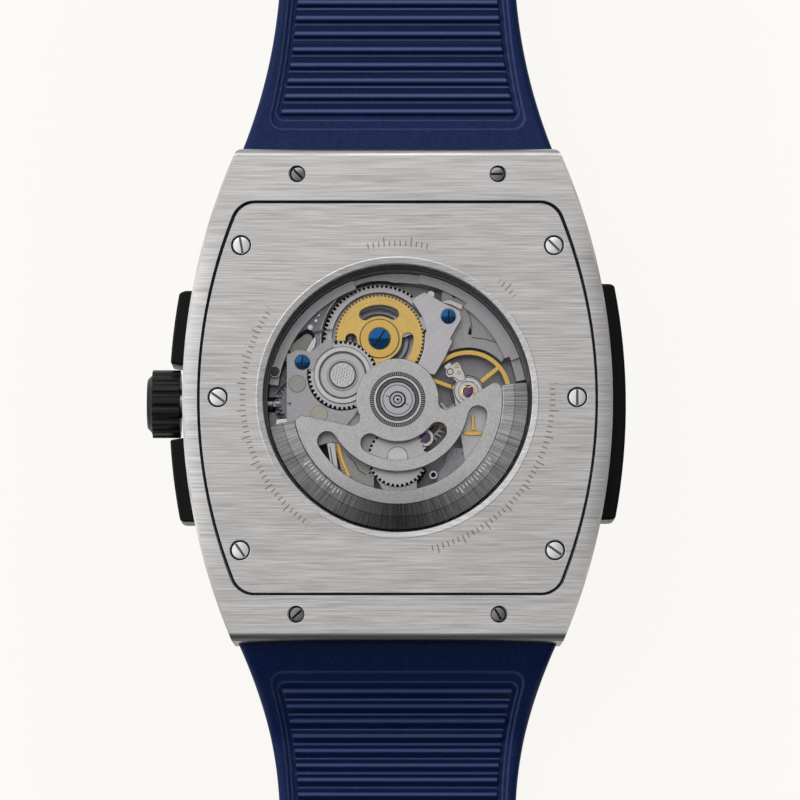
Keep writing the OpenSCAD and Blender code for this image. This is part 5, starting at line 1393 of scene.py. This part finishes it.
@dataclass
class StrapHalf:
    """One half of the rubber strap, from the case outwards.

    Attributes:
        name: name of the half.
        way: 1 towards twelve o'clock, -1 towards six.
        length: length from the case end.
        bends: distances of the two bends from the case end.
        bodies: bodies of the root, the middle and the end section; not used.
        nodes: frame nodes that the two pieces stand for.
        faces: gives the lower and upper height at a distance from the case.
        ribs_end: where the ribbed panel ends.
        pitch: distance from one rib to the next.
        holes: distances of the tongue's holes from the case end.
        round_tip: radius of a round tip, 0 for a straight one.
        case_end: distance of the case end from the watch's middle.
        root_w: width at the case.
        strap_w: width behind the shoulder.
        end_w: width at the tip.
        shoulder: length over which the root narrows.
        edge: radius of the long edges.
        panel_start: where the ribbed panel starts.
        steps: for each of the panel's two steps how far in it lies, how much later it starts, its
            corner radius and the width of its slope.
        ribs: how far in the ribs lie and how much later than the panel they start.
        seam: how far in from the long edges the groove in the lower face lies, and its depth.
    """

    name: str
    way: int
    length: float
    bends: tuple[float, float]
    bodies: tuple[str, str, str]
    nodes: tuple[tuple[str, ...], tuple[str, ...]]
    faces: Callable[[np.ndarray], tuple[np.ndarray, np.ndarray]]
    ribs_end: float
    pitch: float
    holes: tuple[float, ...] = ()
    round_tip: float = 0.0
    case_end: float = 24.8
    root_w: float = 31.6
    strap_w: float = 23.6
    end_w: float = 22.0
    shoulder: float = 21.0
    edge: float = 0.7
    panel_start: float = 2.8
    steps: tuple[tuple[float, float, float, float], ...] = ((0.0, 0.0, 1.5, 0.16), (0.45, 0.95, 1.0, 0.14))
    ribs: tuple[float, float] = (0.9, 1.45)
    seam: tuple[float, float] = (0.875, 0.25)

    def half_w(self, u: np.ndarray) -> np.ndarray:
        """Half width: the shoulder narrows with the square of the distance, the rest evenly."""
        near = self.strap_w / 2 + (self.root_w - self.strap_w) / 2 * np.maximum(0, 1 - u / self.shoulder) ** 2
        share = np.clip((u - self.shoulder) / (self.length - self.shoulder), 0, 1)
        plain = near + (self.end_w - self.strap_w) / 2 * share
        if not self.round_tip:
            return plain
        r = self.round_tip
        reach = np.clip(u - (self.length - r), 0, r)
        return np.minimum(plain, np.maximum(0.4, np.sqrt(np.maximum(0, r * r - reach * reach))))

    def inside(self, u: np.ndarray, x: np.ndarray, side: float, start: float, corner: float) -> np.ndarray:
        """Distance inwards from a panel outline with round corners.

        The nearer of the side and the end line counts; inside a corner square it is the corner radius
        less the distance from the corner's centre.

        Args:
            u: distances from the case end.
            x: places across the strap.
            side: how much further in than the panel's own margin the side line lies.
            start: distance of the end line from the case end.
            corner: corner radius.
        """
        margin = 1.0 + 1.0 * np.maximum(0, 1 - u / 15.0) ** 1.3 + side
        across = self.half_w(u) - margin - np.abs(x)
        along = np.minimum(u - start, self.ribs_end + self.panel_start - start - u)
        in_corner = (across < corner) & (along < corner)
        rounded = corner - np.hypot(corner - across, corner - along)
        return np.where(in_corner, rounded, np.minimum(across, along))

    def step_line(self, u: np.ndarray, x: np.ndarray, which: int) -> np.ndarray:
        """Distance inwards from the upper edge of one of the panel's steps."""
        side, later, corner, _ = self.steps[which]
        return self.inside(u, x, side, self.panel_start + later, corner)

    def rib_zone(self, u: np.ndarray, x: np.ndarray) -> tuple[np.ndarray, np.ndarray]:
        """1 where ribs stand and 0 elsewhere, and the place within a rib's pitch from 0 to 1."""
        side, later = self.ribs
        start = self.panel_start + later
        return np.clip(self.inside(u, x, side, start, 0.05) / 0.1, 0, 1), ((u - start) / self.pitch) % 1.0

    def relief(self, u: np.ndarray, x: np.ndarray) -> np.ndarray:
        """Height of the inner face's relief: two steps down to a floor, on which the ribs stand.

        Each rib has a full crest on its case side, falls away from it and ends in a thin ridge.
        """
        first, second = (np.clip(self.step_line(u, x, k) / self.steps[k][3], 0, 1) for k in (0, 1))
        zone, v = self.rib_zone(u, x)
        shape = np.interp(v, [0.0, 0.05, 0.14, 0.22, 0.36, 0.5, 0.76, 0.80, 0.86, 0.90, 1.0],
                          [0.0, 0.30, 0.44, 0.46, 0.42, 0.2, 0.02, 0.20, 0.22, 0.02, 0.0])
        return -(0.24 * first + 0.24 * second) + zone * shape

    def shine(self, u: np.ndarray, x: np.ndarray) -> np.ndarray:
        """Painted light on the relief: highlights as bell curves over each rib's crest and ridge, and along
        thin outlines.

        Painted shade in the furrows between the ribs is below 0.
        """
        zone, v = self.rib_zone(u, x)
        ribs = 0.75 * np.exp(-((v - 0.27) / 0.1) ** 2) + 1.1 * np.exp(-((v - 0.83) / 0.05) ** 2)
        ribs -= 0.45 * np.exp(-((v - 0.58) / 0.14) ** 2) + 0.4 * np.exp(-(v / 0.06) ** 2)
        first, second = (0.5 * np.exp(-(self.step_line(u, x, k) / 0.07) ** 2) for k in (0, 1))
        return zone * ribs + (first + second)

    def surface(self, u0: float, u1: float, fine: float) -> tuple[np.ndarray, np.ndarray]:
        """Points and painted light and shade of one stretch: loops round the strap, carried along it.

        A loop runs over the upper face, round one edge, back along the lower face and round the other
        edge. The edges are quarter rounds on both faces.
        """
        u = np.linspace(u0, u1, int(round((u1 - u0) / fine)) + 1)
        hw = self.half_w(u)[:, None]
        low, high = (face[:, None] for face in self.faces(u))
        inwards = np.concatenate([np.linspace(0, 3.6, 34), np.linspace(3.9, 8, 8)])
        t = np.linspace(0, np.pi / 2, 6)[1:-1]
        half_top = np.maximum(np.concatenate([hw - (self.edge + inwards), np.zeros_like(hw)], axis=1), 0)
        x_top = np.concatenate([half_top, -half_top[:, ::-1][:, 1:]], axis=1)
        z_top = high + self.relief(u[:, None], x_top)
        low_in = self.edge + np.array([0, 0.35, 0.6, 0.75, 1.0, 1.15, 1.4, 3.0, 6.0])
        half_low = np.maximum(np.concatenate([hw - low_in, np.zeros_like(hw)], axis=1), 0)
        x_low = np.concatenate([-half_low, half_low[:, ::-1][:, 1:]], axis=1)
        seam_in, seam_deep = self.seam
        groove = seam_deep * np.interp(np.abs(hw - np.abs(x_low) - self.edge - seam_in), [0.12, 0.28], [1, 0])
        groove *= np.clip((u[:, None] - 1.0) / 1.5, 0, 1) * np.clip((self.length - 6 - u[:, None]) / 3, 0, 1)
        z_low = low + groove
        e = self.edge
        one = np.ones_like(hw)
        loops = [(x_top, z_top),
                 (-hw + e - e * np.sin(t) * one, high - e + e * np.cos(t) * one),
                 (-hw + e - e * np.cos(t) * one, low + e - e * np.sin(t) * one),
                 (x_low, z_low),
                 (hw - e + e * np.sin(t) * one, low + e - e * np.cos(t) * one),
                 (hw - e + e * np.cos(t) * one, high - e + e * np.sin(t) * one)]
        x = np.concatenate([part[0] for part in loops], axis=1)
        z = np.concatenate([part[1] for part in loops], axis=1)
        y = np.repeat(u[:, None], x.shape[1], axis=1)
        painted_light = np.zeros_like(x)
        painted_light[:, :x_top.shape[1]] = self.shine(u[:, None], x_top)
        return np.stack([x, self.way * (self.case_end + y), z], axis=-1), painted_light

    def build(self) -> None:
        """Build the two pieces of the half."""
        middle = (self.bends[0] + self.bends[1]) / 2
        spans = [(0.0, middle), (middle, self.length)]
        row_step = 0.125
        for i, (u0, u1) in enumerate(spans):
            points, painted_light = self.surface(u0, u1, row_step)
            piece = grid_mesh(f"{self.name}_rubber_{i + 1}", points[::self.way], wrap_v=True, caps=True)
            # Painted highlights on the ribs and painted shade in their furrows, as a mesh attribute.
            crest = piece.data.attributes.new("crest", "FLOAT", "POINT")
            crest.data.foreach_set("value", painted_light[::self.way].ravel().astype(np.float32))
            inside = [u for u in self.holes if u0 < u < u1]
            if inside:
                carve(piece, [disc_cutter((0, self.way * (self.case_end + u)), 1.3, -1, 9) for u in inside])
            dress(piece, BLUE_RUBBER)
            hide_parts(*self.nodes[i])
            bend = self.bends[i]
            height = float(sum(self.faces(np.array([bend])))[0]) / 2
            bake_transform(piece)
            LOG.info("strap piece %s", piece.name)


@dataclass
class Strap(Assembly):
    """Both strap halves, the keepers and the buckle.

    Attributes:
        plate_z: height of the strap's lower face at the case.
        lie_z: height of the buckle half's lower face.
        thick: thickness where the strap lies flat.
        root_thick: thickness at the case.
    """

    plate_z: float = 4.0
    lie_z: float = 4.0
    thick: float = 3.0
    root_thick: float = 4.4
    plan: ClassVar[dict[str, Dress]] = {
        "keeper_fixed": Dress(BLUE_RUBBER, 0.38, 4),
        "keeper_free": Dress(BLUE_RUBBER, 0.38, 4),
        "buckle_frame": Dress(BUCKLE_STEEL, 0.28, 3),
        "buckle_tongue": Dress(BUCKLE_STEEL, 0.16, 3),
        "buckle_pin": Dress(BUCKLE_STEEL, 0.12, 2),
    }

    def buckle_faces(self, u: np.ndarray) -> tuple[np.ndarray, np.ndarray]:
        """Lower and upper height of the buckle half, which settles over 12 mm by a square law."""
        fall = np.maximum(0, 1 - u / 12) ** 2
        low = self.plate_z + (self.lie_z - self.plate_z) * np.minimum(1, u / 12)
        top = self.lie_z + self.thick
        return low, top + (self.plate_z + self.root_thick - top) * fall

    def hole_faces(self, u: np.ndarray) -> tuple[np.ndarray, np.ndarray]:
        """Lower and upper height of the hole half, whose middle line eases down to the table."""
        k = np.minimum(1, u / 10)
        middle = self.plate_z + self.root_thick / 2
        fall = middle - self.thick / 2
        slope = fall * 6 * k * (1 - k) / 10
        thick = self.thick + (self.root_thick - self.thick) * (1 - k) ** 2
        half = thick / 2 * np.sqrt(1 + slope ** 2)
        centre = middle - fall * k * k * (3 - 2 * k)
        return centre - half, centre + half

    def build(self) -> None:
        """Build the strap halves and dress the metal and the keepers."""
        StrapHalf("buckle_half", way=1, length=76.0, bends=(14.0, 44.0),
                  bodies=("case", "buckle_strap", "buckle_strap_end"),
                  nodes=(("strap_buckle_root", "strap_buckle_mid"), ("strap_buckle_end",)),
                  faces=self.buckle_faces, ribs_end=60.0, pitch=1.6).build()
        StrapHalf("hole_half", way=-1, length=115.0, bends=(12.0, 44.0),
                  bodies=("case", "hole_strap", "hole_strap_end"),
                  nodes=(("strap_holes_root", "strap_holes_mid"), ("strap_holes_end",)),
                  faces=self.hole_faces, ribs_end=46.0, pitch=1.45,
                  holes=tuple(93 - 6.5 * i for i in range(7)),
                  round_tip=15.84, shoulder=17.5, case_end=24.0).build()
        super().build()


# The scene


@dataclass
class Studio:
    """Floor, lamps, world and camera.

    Attributes:
        distance: distance from the camera to the watch, in millimetres.
        tilt: how far the camera leans towards six o'clock, in degrees.
        frame_width: width of the picture at the watch, in millimetres.
        aim: the point at the picture's centre, in millimetres.
        sensor: width of the camera's sensor, in millimetres.
        oval: half width and half length, in millimetres, of the oval around the watch in which the
            floor keeps a soft shadow.
        side_light: strength of the room's light from the left and from the right.
    """

    distance: float = 450.0
    tilt: float = 6.0
    frame_width: float = 78.74
    aim: tuple[float, float, float] = (0.24, -0.30, 13.2)
    sensor: float = 36.0
    oval: tuple[float, float] = (60.0, 150.0)
    side_light: tuple[float, float] = (1.25, 0.3)

    def build(self) -> None:
        """Set up the picture."""
        self.camera()
        self.floor()
        self.world()
        self.lamps()
        bpy.context.scene.view_settings.view_transform = "Standard"

    def camera(self) -> None:
        """Camera above the watch, leaning towards six o'clock."""
        lens = bpy.data.cameras.new("camera")
        lens.sensor_width = self.sensor
        lens.lens = self.sensor * self.distance / self.frame_width
        lens.clip_start = 0.01
        lens.clip_end = 20.0
        eye = bpy.data.objects.new("camera", lens)
        lean = math.radians(self.tilt)
        aim = np.array(self.aim)
        place = aim + self.distance * np.array([0.0, -math.sin(lean), math.cos(lean)])
        eye.location = tuple(float(v) for v in place * MM)
        eye.rotation_euler = (lean, 0.0, 0.0)
        bpy.context.scene.collection.objects.link(eye)
        bpy.context.scene.camera = eye

    def floor(self) -> None:
        """A pale floor just below the glass, which the camera sees as off-white."""
        side = 3.0
        mesh = bpy.data.meshes.new("floor")
        low = -0.02 * MM
        corners = [(-side, -side, low), (side, -side, low), (side, side, low), (-side, side, low)]
        mesh.from_pydata(corners, [], [(0, 1, 2, 3)])
        floor = make_object("floor", mesh)
        nodes = Nodes("floor_paper")
        for socket, value in (("Base Color", (0.80, 0.79, 0.77, 1.0)), ("Roughness", 0.9),
                              ("Specular IOR Level", 0.1)):
            nodes.shader.inputs[socket].default_value = value
        seen = nodes.add("LightPath")
        both = nodes.math("MAXIMUM", seen.outputs["Is Glossy Ray"], seen.outputs["Is Transmission Ray"])
        any_ray = nodes.math("MAXIMUM", seen.outputs["Is Camera Ray"], both)
        glow = nodes.add("Emission", Color=(*srgb(253, 251, 247), 1.0), Strength=1.0)
        flat = nodes.add("VectorMath", operation="MULTIPLY", i0=nodes.millimetres(),
                         i1=(1 / self.oval[0], 1 / self.oval[1], 0.0))
        away = nodes.add("VectorMath", operation="LENGTH", i0=flat.outputs[0])
        amount = nodes.math("MULTIPLY", any_ray, nodes.spread(away.outputs["Value"], 0.95, 1.0, 0.55, 1.0))
        mix = nodes.add("MixShader", i0=amount, i1=nodes.shader.outputs[0], i2=glow.outputs[0])
        nodes.link(mix.outputs[0], nodes.out.inputs[0])
        mesh.materials.append(nodes.material)

    def world(self) -> None:
        """A pale room: even from above and from twelve o'clock, dim low towards six and to the right.

        The strength falls evenly from left to right, and is faded out towards six o'clock.
        """
        world = bpy.data.worlds.new("room")
        world.use_nodes = True
        tree = world.node_tree
        paint = tree.nodes["Background"]
        paint.inputs[0].default_value = (1.0, 0.992, 0.98, 1.0)
        place = tree.nodes.new("ShaderNodeTexCoord")
        parts = tree.nodes.new("ShaderNodeSeparateXYZ")
        tree.links.new(place.outputs["Generated"], parts.inputs[0])
        steps = []
        for axis, start, end, low, high in ((0, -0.55, 0.5, *self.side_light), (1, -0.5, -0.02, 0.2, 1.0)):
            ramp = tree.nodes.new("ShaderNodeMapRange")
            ramp.interpolation_type = "SMOOTHSTEP" if axis else "LINEAR"
            tree.links.new(parts.outputs[axis], ramp.inputs[0])
            for socket, value in zip((1, 2, 3, 4), (start, end, low, high)):
                ramp.inputs[socket].default_value = value
            steps.append(ramp)
        both = tree.nodes.new("ShaderNodeMath")
        both.operation = "MULTIPLY"
        for socket, ramp in enumerate(steps):
            tree.links.new(ramp.outputs[0], both.inputs[socket])
        tree.links.new(both.outputs[0], paint.inputs[1])
        bpy.context.scene.world = world

    def lamps(self) -> None:
        """Soft boxes: a broad one high over twelve o'clock and one on the crown side."""
        self.lamp("top", (-60, 330, 420), width=420, depth=260, power=0.55)
        self.lamp("left", (-420, 60, 300), width=240, depth=320, power=0.34)

    def lamp(self, name: str, place: Vec, width: float, depth: float, power: float) -> None:
        """One soft box that faces the watch.

        Args:
            name: name of the lamp.
            place: where it hangs, in millimetres.
            width: its width in millimetres.
            depth: its depth in millimetres.
            power: its power in watts.
        """
        light = bpy.data.lights.new(name, "AREA")
        light.shape = "RECTANGLE"
        light.size = width * MM
        light.size_y = depth * MM
        light.energy = power
        light.color = (1.0, 0.985, 0.96)
        lamp = bpy.data.objects.new(name, light)
        away = np.array(place, dtype=float)
        lamp.location = tuple(float(v) for v in away * MM)
        x, y, z = away / np.linalg.norm(away)
        lamp.rotation_euler = (math.acos(z), 0.0, math.atan2(x, -y) if abs(x) + abs(y) > 1e-6 else 0.0)
        bpy.context.scene.collection.objects.link(lamp)


def main() -> None:
    """Build the watch piece by piece, then the studio."""
    logging.basicConfig(level=logging.INFO, format="%(name)s: %(message)s")
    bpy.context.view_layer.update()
    for part in (Case(), Crown(), Movement(), Rotor(), DialSide(), Strap(), Studio()):
        part.build()
        LOG.info("built %s", type(part).__name__)


if __name__ == "__main__":
    main()
